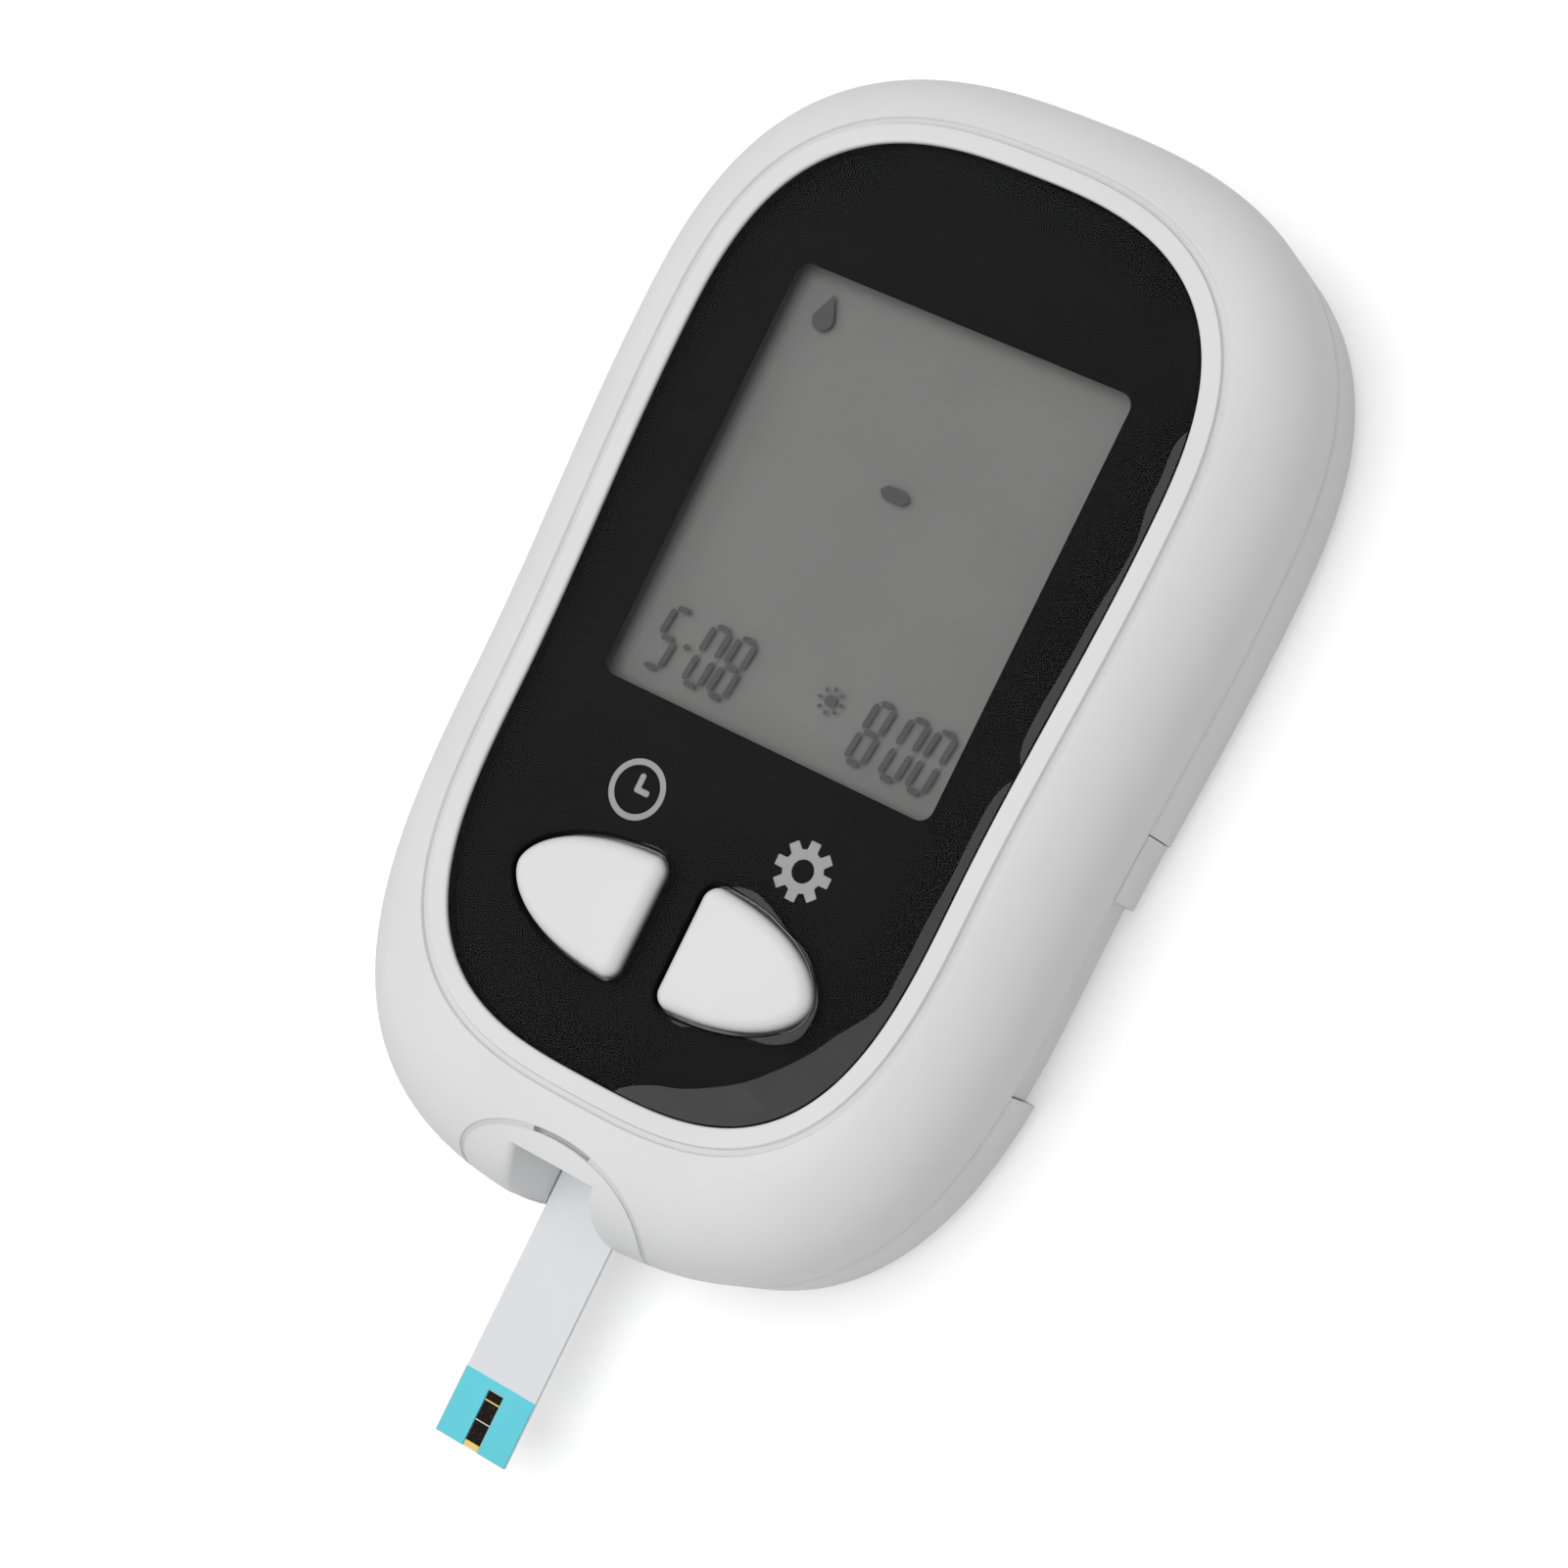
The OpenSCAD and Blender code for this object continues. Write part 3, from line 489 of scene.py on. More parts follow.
def port_cutter(offset, side, edge):
    """Cylinder round the port whose wall flares into a rounded edge where it meets the shoulder.
    side is 1 for the cut in the shell and -1 for the outside of the bezel."""
    columns = []
    for a in np.linspace(0, 2 * np.pi, 160, endpoint=False):
        out = np.array([np.cos(a) / port_half_width, np.sin(a) / port_half_depth])
        out = out / np.linalg.norm(out)
        on_ellipse = np.array([port_half_width * np.cos(a), port_centre + port_half_depth * np.sin(a)])
        wall = on_ellipse + offset * out
        probe = 0.3
        here = front_level(*wall)
        rise = front_level(*(wall + probe * out)) - front_level(*(wall - probe * out))
        slope = np.clip(rise / (2 * probe), -2, 2)
        length = math.hypot(1, slope)
        start = math.pi if side > 0 else 0.0
        end = math.atan2(1, -slope)
        profile = [(0, seam_height - 2)]
        for turn in np.linspace(start, end, 6):
            profile.append((
                side * edge + edge * math.cos(turn),
                here + slope * side * edge - edge * length + edge * math.sin(turn),
            ))
        profile.append((profile[-1][0], body_height + 3))
        columns.append([(*(wall + rho * out), z) for rho, z in profile])
    rings = [np.array([column[k] for column in columns]) for k in range(len(columns[0]))]
    return loft("port_cutter", rings)


def port_ring(offset, start, end, steps):
    """Arc of the port's outline, counterclockwise, between two angles in degrees."""
    a = np.radians(np.linspace(start, end, steps))
    across = (port_half_width + offset) * np.cos(a)
    up = port_centre + (port_half_depth + offset) * np.sin(a)
    return np.stack([across, up], 1)


def sunk(points, depth):
    """Points put at a depth under the front shell's outside."""
    return np.array([(x, y, level_below(x, y, depth)) for x, y in points])


def joint_channel():
    """Fine channel along the joint between the shell and the bezel."""
    outer = port_ring(joint_half, 0, 360, 181)[:-1]
    inner = port_ring(-joint_half, 0, 360, 181)[:-1]
    rings = [sunk(outer, joint_depth), at_level(outer, body_height + 3), at_level(inner, body_height + 3)]
    rings.append(sunk(inner, joint_depth))
    return loft("joint_channel", rings, hoop=True)


def apex_slot():
    """Deeper, open stretch of the joint at the upper end of the port."""
    first, last = 70, 106
    ring = np.concatenate([port_ring(0.17, first, last, 16), port_ring(-0.2, last, first, 16)])
    return loft("apex_slot", [sunk(ring, slot_depth), at_level(ring, body_height + 3)])


shell_white = moulded_plastic("shell_white", (0.80, 0.80, 0.80), 0.42)
# Matt etched texture for groove floors; its darker colour is painted shade for the hollow of the groove
groove_matt_and_painted_shade = moulded_plastic("groove_matt_and_painted_shade", (0.72, 0.72, 0.72), 0.6, grain=0.000006)
port_edge = 0.06
port_gap = 0.005
under_panel = 15
board_top = 14.66
housing_thread = 1.03
board_thread = 0.88
joint_half = 0.25
joint_depth = 0.2
slot_depth = 1.2
housing_screws = [(side * 18.5, y) for side in (-1, 1) for y in (28.5, chin_end + 15.9)]
board_screws = [(side * x, y) for side in (-1, 1) for x, y in ((21.8, 8), (10.5, chin_end + 14.4))]

front_shell = loft("front_shell_moulding", front_rings())
combine(front_shell, front_cavity())
combine(front_shell, port_cutter(port_gap, 1, port_edge))
combine(front_shell, joint_channel())
combine(front_shell, apex_slot())
display_opening = rounded_box(display_width + 1.8, display_height + 1.8, 1)
combine(front_shell, prism(display_opening, under_panel, window_top))
combine_buttons(front_shell, button_gap, under_panel, window_top)
for x, y in housing_screws:
    combine(front_shell, prism(circle(x, y, 2.6), seam_height + 0.3, panel_bottom + 0.5), "UNION")
    combine(front_shell, prism(circle(x, y, housing_thread), 0, panel_bottom - 0.8))
for x, y in board_screws:
    combine(front_shell, prism(circle(x, y, 1.9), board_top, panel_bottom + 0.5), "UNION")
    combine(front_shell, prism(circle(x, y, board_thread), 0, panel_bottom + 0.5))
dress(front_shell, "housing", shell_white, ["front_shell"])


def gap_to(ring, x, y):
    """Distance from a place to a closed outline."""
    step = np.roll(ring, -1, 0) - ring
    share = np.clip((([x, y] - ring) * step).sum(1) / (step**2).sum(1), 0, 1)
    return np.linalg.norm([x, y] - ring - share[:, None] * step, axis=1).min()


def etch_and_shade_groove_floor(piece, line, half_width):
    """Gives the floor of a fine groove along a line a matt etched texture and a darker colour, which is
    painted shade in the groove.
    """
    piece.data.materials.append(groove_matt_and_painted_shade)
    for face in piece.data.polygons:
        x, y, z = face.center / mm
        in_groove = 0.1 < front_level(x, y) - z < 1 and gap_to(line, x, y) < half_width
        if face.normal.z > 0.3 and in_groove:
            face.material_index = len(piece.data.materials) - 1


joint_line = port_ring(0, 0, 360, 181)[:-1]
# The groove round the window and the joint round the port get painted shade on their floors
etch_and_shade_groove_floor(front_shell, grown(window_ring, groove_middle), groove_half)
etch_and_shade_groove_floor(front_shell, joint_line, joint_half)


# ---------- Back shell ----------
# The lower half of the housing in the same white ABS. Its rounded upper lip shows as a fine light line
# at the parting line. It holds the tub for the cells and four counterbored screw holes.

back_radius = 3.2
floor_level = 1.8
door_wall = 1.4
door_set_back = 1
cell_diameter = 10.5
cell_level = door_set_back + door_wall + 0.1 + cell_diameter / 2
bay_top = cell_level + cell_diameter / 2 + 0.1
bay_centre = low_centre - 0.35
cell_length = 44.5
spring_room = 3
terminal_room = 0.8
bay_half = (cell_length + spring_room + 2 * terminal_room) / 2
cell_spacing = cell_diameter + 0.3
bay_depth = 2 * cell_spacing + 0.2
bay_wall = 0.9
door_height = 22.95
door_high = bay_centre + door_height / 2
door_low = bay_centre - door_height / 2
ledge_level = door_set_back + door_wall + 0.05
wide = 40
screw_clearance = 1.15
screw_head = 2.1
head_level = 6.4


def back_form(name, inset, rise, top, radius, lip=0.0):
    """Rounded tray whose side tapers in downwards; lip rounds its upper edge."""
    draft = 0.3
    rings = round_rings(body_ring, inset + draft, rise, radius, -radius, np.linspace(90, 0, 10))
    lip_turns = np.linspace(0, 90, 6 if lip else 1)
    return loft(name, rings + round_rings(body_ring, inset + lip * draft, top, lip, lip, lip_turns))


def block(low, high):
    """Box between two corners in millimetres."""
    x0, y0, z0 = low
    x1, y1, z1 = high
    return prism(np.array([(x0, y0), (x1, y0), (x1, y1), (x0, y1)]), z0, z1)


back_shell = back_form("back_shell_moulding", 0, 0, seam_height, back_radius, lip=0.45)
combine(back_shell, back_form("inside", shell_wall, floor_level, seam_height + 0.5, back_radius - 1))
tub_side = bay_half + bay_wall
combine(back_shell, block(
    (-tub_side, door_low - 0.7, ledge_level),
    (tub_side, door_high + 0.7, bay_top + 0.65),
), "UNION")
for low, high in ((door_high, door_high + 1.6), (door_low - 1.6, door_low)):
    rib = block((-wide, low, -1), (wide, high, seam_height - 0.35))
    combine(rib, back_form("rib_form", 0.5, 0.05, seam_height, back_radius), "INTERSECT")
    combine(back_shell, rib, "UNION")
for x, y in housing_screws:
    combine(back_shell, prism(circle(x, y, 3), floor_level - 0.5, seam_height), "UNION")
combine(back_shell, block((-wide, door_low, -1), (wide, door_high, ledge_level)))
for side in (-1, 1):
    low_x, high_x = sorted((side * tub_side, side * wide))
    combine(back_shell, block((low_x, door_low, -1), (high_x, door_high, seam_height + 1)))
combine(back_shell, block(
    (-bay_half, bay_centre - bay_depth / 2, -1),
    (bay_half, bay_centre + bay_depth / 2, bay_top),
))
for x, y in housing_screws:
    combine(back_shell, prism(circle(x, y, screw_clearance), -1, seam_height + 1))
    combine(back_shell, prism(circle(x, y, screw_head), -1, head_level))
dress(back_shell, "housing", shell_white, ["back_shell"])


# ---------- Battery door ----------
# A white ABS cover that snaps across the back below the parting line. It is set back a little,
# except for a raised thumb lip along its upper edge, which has three moulded grip grooves.

door_inset = 0.75
door_gap = 0.1
lip_low = door_high - 5.8
door_lip = 0.12
door_top = seam_height - door_lip
battery_door = block((-wide, door_low + door_gap, -1), (wide, lip_low + 0.5, seam_height + 1))
door_form = back_form("door_form", door_inset, door_set_back, door_top, 2.6, lip=door_lip)
combine(battery_door, door_form, "INTERSECT")
thumb_lip = block((-wide, lip_low, -1), (wide, door_high - door_gap, seam_height + 1))
combine(thumb_lip, back_form("lip_form", 0.15, 0.1, door_top, back_radius, lip=door_lip), "INTERSECT")
combine(battery_door, thumb_lip, "UNION")
inside_level = door_set_back + door_wall
door_inside = back_form("door_inside", door_inset + door_wall, inside_level, seam_height + 0.5, 0.3)
combine(battery_door, door_inside)
combine(battery_door, block(
    (-tub_side - 0.2, door_low - 1, ledge_level - 0.02),
    (tub_side + 0.2, door_high + 1, seam_height + 1),
))
for grip in range(3):
    grip_groove = rounded_box(20, 0.8, 0.4, (0, lip_low + 1.4 + 1.5 * grip))
    combine(battery_door, prism(grip_groove, -1, 0.5))
battery_door.name = "battery_door_moulding"
dress(battery_door, "battery_door", shell_white, ["battery_door"])


# ---------- Strip port bezel ----------
# A separate white moulding set in the chin. It funnels the test strip into the slot: a deep notch
# with a square back, soft upper rims and sides that open out towards the end.

strip_width = 6.9
slot_bottom = seam_height + 0.6
slot_play = 0.15
strip_thickness = 0.46
slot_top = slot_bottom + strip_thickness + 2 * slot_play
slot_half = strip_width / 2 + slot_play
notch_half = strip_width / 2 + 0.3
notch_back = chin_end + 4.4
flare_start = chin_end + 3.6
flare_width = 2.6
flare_length = 4
rim_radius = 0.75


def notch_half_width(y):
    """Half width of the notch, which opens out in a quarter of an ellipse."""
    s = min(1.0, max(0.0, (flare_start - y) / flare_length))
    return notch_half + flare_width * (1 - math.sqrt(1 - s * s))


def notch_cutter():
    """Cross sections of the notch from its square back to beyond the chin, each wider at the top."""
    sections = []
    along_flare = flare_start - flare_length * np.sin(np.linspace(0, np.pi / 2, 22))
    straight = np.linspace(notch_back, flare_start, 4)[:-1]
    for y in np.concatenate([straight, along_flare, [chin_end - 1.5]]):
        half = notch_half_width(y)
        level = front_level(half, y) if y > chin_end else body_height - shoulder_radius
        foot = slot_half + 0.05 * (half - notch_half)
        right = [(foot, slot_top - slot_play), (half, level - rim_radius)]
        for turn in np.radians(np.linspace(180, 90, 8))[1:]:
            across = half + rim_radius * (1 + math.cos(turn))
            right.append((across, level - rim_radius * (1 - math.sin(turn))))
        right.append((half + rim_radius, body_height + 2))
        left = [(-x, z) for x, z in right]
        sections.append(np.array([(x, y, z) for x, z in right + left[::-1]]))
    return loft("notch", sections)


bezel = loft("strip_port_bezel_moulding", wall_rings(88))
combine(bezel, port_cutter(-port_gap, -1, port_edge), "INTERSECT")
combine(bezel, joint_channel())
combine(bezel, apex_slot())
combine(bezel, notch_cutter())
combine(bezel, block((-slot_half, chin_end - 1, slot_bottom), (slot_half, chin_end + 8, slot_top)))
dress(bezel, "housing", shell_white, ["strip_port_bezel"])
# The joint's floor on the bezel gets the same painted shade
etch_and_shade_groove_floor(bezel, joint_line, joint_half)


# ---------- Display window ----------
# A clear acrylic plate, printed black on its back except over the display. The black is a sheet of
# its own here, so that the display is seen through real depth.


def clear_sheet(name, gloss_roughness, tint, index):
    """Clear plastic that lets the lamps through. It mirrors more at grazing angles, on its outside only."""
    made, tree, shader = new_material(name)
    tree.nodes.remove(shader)
    through = tree.nodes.new("ShaderNodeBsdfTransparent")
    through.inputs["Color"].default_value = (*tint, 1)
    mirror = tree.nodes.new("ShaderNodeBsdfGlossy")
    mirror.inputs["Color"].default_value = (1, 1, 1, 1)
    mirror.inputs["Roughness"].default_value = gloss_roughness
    edge = tree.nodes.new("ShaderNodeFresnel")
    edge.inputs["IOR"].default_value = index
    face = tree.nodes.new("ShaderNodeNewGeometry")
    outside = tree.nodes.new("ShaderNodeMath")
    outside.operation = "SUBTRACT"
    outside.inputs[0].default_value = 1
    wire(tree, face.outputs["Backfacing"], outside.inputs[1])
    share = tree.nodes.new("ShaderNodeMath")
    share.operation = "MULTIPLY"
    wire(tree, edge.outputs["Fac"], share.inputs[0])
    wire(tree, outside.outputs[0], share.inputs[1])
    blend = tree.nodes.new("ShaderNodeMixShader")
    wire(tree, share.outputs[0], blend.inputs["Fac"])
    wire(tree, through.outputs[0], blend.inputs[1])
    wire(tree, mirror.outputs[0], blend.inputs[2])
    wire(tree, blend.outputs[0], tree.nodes["Material Output"].inputs["Surface"])
    return made


window_clear = clear_sheet("window_clear", 0.03, (1, 1, 1), 1.2)
print_level = 18.165
plate_inset = 0.1
plate_edge = 0.12
over_window = 22
plate_turns = np.linspace(0, 90, 4)
plate_rings = [at_level(grown(window_ring, -plate_inset), print_level + 0.02)]
plate_rings += round_rings(window_ring, plate_inset, window_top, plate_edge, plate_edge, plate_turns)
window_plate = loft("window_plate", plate_rings)
combine_buttons(window_plate, button_gap + 0.13, under_panel, over_window)
dress(window_plate, "housing", window_clear, ["display_window"])

window_black = moulded_plastic("window_black", (0.005, 0.005, 0.0052), 0.35, grain=0.0000005, spread=0.1)
window_black.node_tree.nodes["Principled BSDF"].inputs["Specular IOR Level"].default_value = 0.02
print_top = window_top - plate_edge
# The print also rises as a thin black ring round the plate's edge and round the button holes: painted shade
# for the dark walls seen through the clear edge
window_print = prism(grown(window_ring, -0.04), window_bottom + 0.002, print_top, "window_print")
combine(window_print, prism(grown(window_ring, -plate_inset + 0.01), print_level, over_window))
clear_field = rounded_box(display_width, display_height, 1.15, steps=8)
combine(window_print, prism(clear_field, under_panel, over_window))
combine_buttons(window_print, button_gap + 0.12, print_level - 0.1, print_top, "UNION")
combine_buttons(window_print, button_gap, under_panel, over_window)
dress(window_print, "housing", window_black)


# ---------- Protective film ----------
# A clear peel-off film over the window, with holes round the buttons and a pull tab on the chin. Where
# it has come loose along the edge and round the buttons, air under it makes it look grey: a faint milky
# haze and a painted reflection, both drawn as a little diffuse white.

film_inset = 0.13
film_top = window_top + 0.08
film_clear = clear_sheet("film_clear", 0.06, (1, 1, 1), 1.03)


def seen_at(px, py, level):
    """Place at a level in millimetres that shows at a pixel of the photograph."""
    middle = photo_size / 2
    sight = to_camera.transposed() @ Vector((px - middle, middle - py, -focal_length_pixels))
    eye = Vector(camera_place)
    share = (level - eye.z) / sight.z
    return np.array([eye.x + share * sight.x, eye.y + share * sight.y])


def smooth_line(points, steps=4):
    """Smooth curve through points, open at both ends."""
    points = np.array(points, float)
    ends = np.concatenate([[2 * points[0] - points[1]], points, [2 * points[-1] - points[-2]]])
    line = []
    for k in range(1, len(ends) - 2):
        before, start, end, after = ends[k - 1 : k + 3]
        slope = end - before
        bend = 2 * before - 5 * start + 4 * end - after
        twist = 3 * start - before - 3 * end + after
        for u in np.arange(steps) / steps:
            line.append(start + 0.5 * (slope * u + bend * u**2 + twist * u**3))
    line.append(ends[-2])
    return np.array(line)


def photo_line(pixels, level, steps=4):
    """Smooth curve at a level through pixels of the photograph."""
    return smooth_line([seen_at(px, py, level) for px, py in pixels], steps)


def counterclockwise(ring):
    """The same closed outline, turned round if it runs clockwise."""
    ahead = np.roll(ring, -1, 0)
    area = (ring[:, 0] * ahead[:, 1] - ahead[:, 0] * ring[:, 1]).sum()
    return ring if area > 0 else ring[::-1]


film_sheet = prism(grown(window_ring, -film_inset), window_top + 0.005, film_top, "film_sheet")
combine_buttons(film_sheet, button_gap + 0.16, under_panel, over_window)
dress(film_sheet, "housing", film_clear, ["protective_film"])

# Loose film: a little milky, on both of its faces; the diffuse white mixed in is partly haze and partly a
# painted reflection of the air gap
loose_film_haze_and_sheen, loose_tree, loose_shader = new_material("loose_film_haze_and_sheen")
loose_shader.inputs["Base Color"].default_value = (0.9, 0.9, 0.9, 1)
loose_shader.inputs["Roughness"].default_value = 0.5
loose_shader.inputs["Specular IOR Level"].default_value = 0
loose_through = loose_tree.nodes.new("ShaderNodeBsdfTransparent")
loose_blend = loose_tree.nodes.new("ShaderNodeMixShader")
haze_and_sheen_share = loose_tree.nodes.new("ShaderNodeMapRange")
haze_and_sheen_share.inputs["To Min"].default_value = 0.034
haze_and_sheen_share.inputs["To Max"].default_value = 0.044
wire(loose_tree, noise(loose_tree, 160, 2).outputs["Fac"], haze_and_sheen_share.inputs["Value"])
wire(loose_tree, haze_and_sheen_share.outputs["Result"], loose_blend.inputs["Fac"])
wire(loose_tree, loose_through.outputs[0], loose_blend.inputs[1])
wire(loose_tree, loose_shader.outputs[0], loose_blend.inputs[2])
wire(loose_tree, loose_blend.outputs[0], loose_tree.nodes["Material Output"].inputs["Surface"])

# Inner edges of the loose zones, in pixels of the photograph
right_edge_pixels = [
    (1230, 425), (1217, 437), (1199.5, 455), (1186.5, 486), (1171, 519), (1161.5, 551),
    (1147, 579.5), (1130, 607), (1115, 631.5), (1091, 675), (1069.5, 711), (1054, 739),
    (1044, 762), (1043, 783), (1060, 790),
]
corner_edge_pixels = [
    (1050, 788), (1036, 796), (1016, 813), (993, 853.5), (970, 899.5), (947, 940),
    (916.5, 999), (896, 1031), (855, 1057.5), (828, 1076), (796, 1092), (753, 1107),
    (700, 1112), (665, 1108), (634, 1111), (618, 1122),
]
right_halo_pixels = [
    (735, 915), (747, 906), (772, 911.5), (793, 934), (806, 953), (824, 974), (833.5, 1006.5), (834, 1030),
    (817, 1060), (788, 1067), (753, 1057), (721, 1049), (692, 1047), (679, 1030), (674, 1000), (688, 969),
]
left_halo_pixels = [
    (602, 858), (606, 850), (613, 848), (620, 854), (641, 858), (663, 862), (677, 869), (682, 882),
    (678, 900), (650, 890), (620, 870),
]


def loose_zone(name, pixels, closing=()):
    """Loose part of the film: inside the line and inside the film's own edge."""
    line = photo_line(pixels, film_top)
    if len(closing):
        line = np.concatenate([line, closing])
    zone = prism(counterclockwise(line), film_top + 0.01, film_top + 0.06, name)
    combine(zone, prism(grown(window_ring, -film_inset), window_top, film_top + 1), "INTERSECT")
    combine_buttons(zone, button_gap + 0.15, under_panel, over_window)
    dress(zone, "housing", loose_film_haze_and_sheen)


loose_zone("loose_right_edge", right_edge_pixels, [(40, -12), (40, 20)])
loose_zone("loose_corner", corner_edge_pixels, [(-15, -55), (40, -55), (40, -12)])
loose_zone("loose_right_halo", right_halo_pixels)
loose_zone("loose_left_halo", left_halo_pixels)


def fold(name, pixels, radius=0.035):
    """Fine crease in the film, drawn as a thread whose light grey colour is a painted glint."""
    line = photo_line(pixels, film_top, 5)
    rings = []
    for k, point in enumerate(line):
        ahead = line[min(k + 1, len(line) - 1)] - line[max(k - 1, 0)]
        across = np.array([ahead[1], -ahead[0]]) / np.linalg.norm(ahead)
        taper = radius * (0.25 + 0.75 * math.sin(math.pi * (k + 0.5) / len(line)))
        rings.append(np.array([
            (*(point + across * taper * math.cos(a)), film_top + 0.05 + taper * math.sin(a))
            for a in np.linspace(0, 2 * math.pi, 6, endpoint=False)
        ]))
    dress(loft(name, rings), "housing", crease_painted_glint, sharp_above=80)


# Light grey for the creases: a painted glint where the clear film folds
crease_painted_glint = moulded_plastic("crease_painted_glint", (0.30, 0.30, 0.30), 0.3, grain=0.0000003, spread=0.3)
upper_crease_pixels = [
    (748, 909), (764, 918), (783, 931.5), (799, 947.5), (812, 962), (824, 982), (829.5, 1001), (831, 1020),
]
lower_crease_pixels = [(831, 1025), (823, 1041), (809.5, 1052), (796, 1055)]
left_crease_pixels = [(620, 857), (641, 861), (662, 866.5), (674, 873), (679, 884)]
fold("upper_crease", upper_crease_pixels)
fold("lower_crease", lower_crease_pixels, 0.03)
fold("left_crease", left_crease_pixels, 0.03)


def on_face(px, py):
    """Place on the front shell that shows at a pixel of the photograph."""
    level = body_height
    for attempt in range(6):
        place = seen_at(px, py, level)
        level = front_level(*place)
    return place


# Outline of the pull tab, in pixels of the photograph
tab_pixels = [
    (859, 1118), (859.5, 1142), (859, 1168), (857, 1185), (852, 1198), (843, 1210),
    (830, 1220), (815, 1226), (802, 1229.5), (789, 1232.5), (779, 1231), (769, 1227),
    (762, 1217), (759, 1200), (758, 1170), (757, 1140),
]
tab_outline = counterclockwise(smooth_line([on_face(px, py) for px, py in tab_pixels], 3))
tab_middle = tab_outline.mean(0)
tab_rings = []
for lift, shares in ((0.02, (0.1, 0.4, 0.7, 0.99)), (0.06, (1.0, 0.7, 0.4, 0.1))):
    for share in shares:
        ring = tab_middle + (tab_outline - tab_middle) * share
        tab_rings.append(np.array([(x, y, min(front_level(x, y), body_height) + lift) for x, y in ring]))
tab = loft("film_tab", tab_rings)
tab_clear = clear_sheet("tab_clear", 0.25, (0.998, 0.998, 0.998), 1.1)
dress(tab, "housing", tab_clear)


# ---------- Buttons ----------
# Two white keys with soft edges, moulded in one shot each. They stand a little out of the window
# and ride down onto their switches.

button_top = window_top + 0.8
button_radius = 1.25
key_inset = 0.1
crown = 0.06
button_white = moulded_plastic("button_white", (0.81, 0.81, 0.81), 0.38, grain=0.000002)


def key_cap(name, side):
    """Key with a rounded edge and a slightly crowned top, on a flange and a foot for the switch."""
    edge_top = button_top - crown
    form = button_outline(side, 0)
    rings = [at_level(grown(form, -key_inset), panel_bottom - 0.05)]
    rings += round_rings(form, key_inset, edge_top, button_radius, button_radius, np.linspace(0, 90, 12))
    inner = grown(form, -key_inset - button_radius)
    middle = inner.mean(0)
    for share in (0.8, 0.55, 0.3, 0.1):
        rings.append(at_level(middle + (inner - middle) * share, edge_top + crown * (1 - share**2)))
    cap = loft(name, rings)
    combine(cap, prism(button_outline(side, 0.9), panel_bottom - 0.55, panel_bottom - 0.04), "UNION")
    combine(cap, prism(circle(side * 8, button_y, 1.6), 16.25, panel_bottom - 0.3), "UNION")
    return cap


for word, side in (("left", -1), ("right", 1)):
    cap = key_cap(word + "_key_cap", side)
    dress(cap, word + "_button", button_white, [word + "_button"], sharp_above=50)


# ---------- Window icons ----------
# Light grey prints on the back of the window above the buttons: a clock face for past results over the
# left one and a cog for settings over the right one.

icon_level = print_level + 0.012
ink_thickness = 0.01
icon_grey = moulded_plastic("icon_grey", (0.40, 0.40, 0.40), 0.5, grain=0.0000003, spread=0.05)


def printed(name, outlines, holes=()):
    """Thin printed shape made of one or more outlines in millimetres."""
    sheet = prism(outlines[0], icon_level - ink_thickness, icon_level, name)
    for points in outlines[1:]:
        combine(sheet, prism(points, icon_level - ink_thickness, icon_level), "UNION")
    for points in holes:
        combine(sheet, prism(points, under_panel, over_window))
    dress(sheet, "housing", icon_grey)


def cog_outline(x, y, teeth=8, inner=1.75, outer=2.5):
    """Outline of a cog: each tooth has two points at its root and two at its tip."""
    points = []
    for k in range(teeth):
        for share, radius in ((-0.34, inner), (-0.22, outer), (0.22, outer), (0.34, inner)):
            a = 2 * math.pi * (k + share) / teeth
            points.append((x + radius * math.cos(a), y + radius * math.sin(a)))
    return np.array(points)


icon_x = 8.0
icon_y = -25.5
clock_hands = [
    rounded_box(0.5, 1.6, 0.2, (-icon_x, icon_y + 0.55)),
    rounded_box(1.4, 0.5, 0.2, (-icon_x + 0.45, icon_y)),
]
printed("clock_rim", [circle(-icon_x, icon_y, 2.5)], holes=[circle(-icon_x, icon_y, 2.0)])
printed("clock_hands", clock_hands)
printed("cog_icon", [cog_outline(icon_x, icon_y)], holes=[circle(icon_x, icon_y, 0.95)])


# ---------- Window tape ----------
# A die-cut ring of black foam tape holds the window down in its recess.


def finish_node(name, material):
    """Paints a piece that keeps its own form."""
    piece = cad_nodes[name]
    if not piece.material_slots:
        piece.data.materials.append(material)
    for place in piece.material_slots:
        place.material = material


tape_black = moulded_plastic("tape_black", (0.02, 0.02, 0.02), 0.9, grain=0.00001, spread=0.2)
finish_node("window_tape", tape_black)


# ---------- Display ----------
# A reflective liquid crystal display: two glass plates with a grey reflector behind and a polarizer in
# front. The segments stand over the grey layer and throw soft shadows on it.

segment_level = 16.55
rear_glass_top = 15.65
grey_level = 15.95

# One matt grey layer stands for the front glass and polarizer, so that the segments shade it
display_grey = moulded_plastic("display_grey", (0.232, 0.233, 0.230), 0.6, grain=0.0000003, spread=0.02)
display_grey.node_tree.nodes["Principled BSDF"].inputs["Specular IOR Level"].default_value = 0.1
display_form = rounded_box(display_width + 1.4, display_height + 1.4, 0.2, steps=2)
display_glass = prism(display_form, rear_glass_top + 0.05, grey_level, "display_glass_stack")
front_layers = ["lcd_front_polarizer", "lcd_front_glass"]
dress(display_glass, "housing", display_grey, front_layers)
finish_node("lcd_rear_glass", display_grey)
finish_node("lcd_reflector", display_grey)


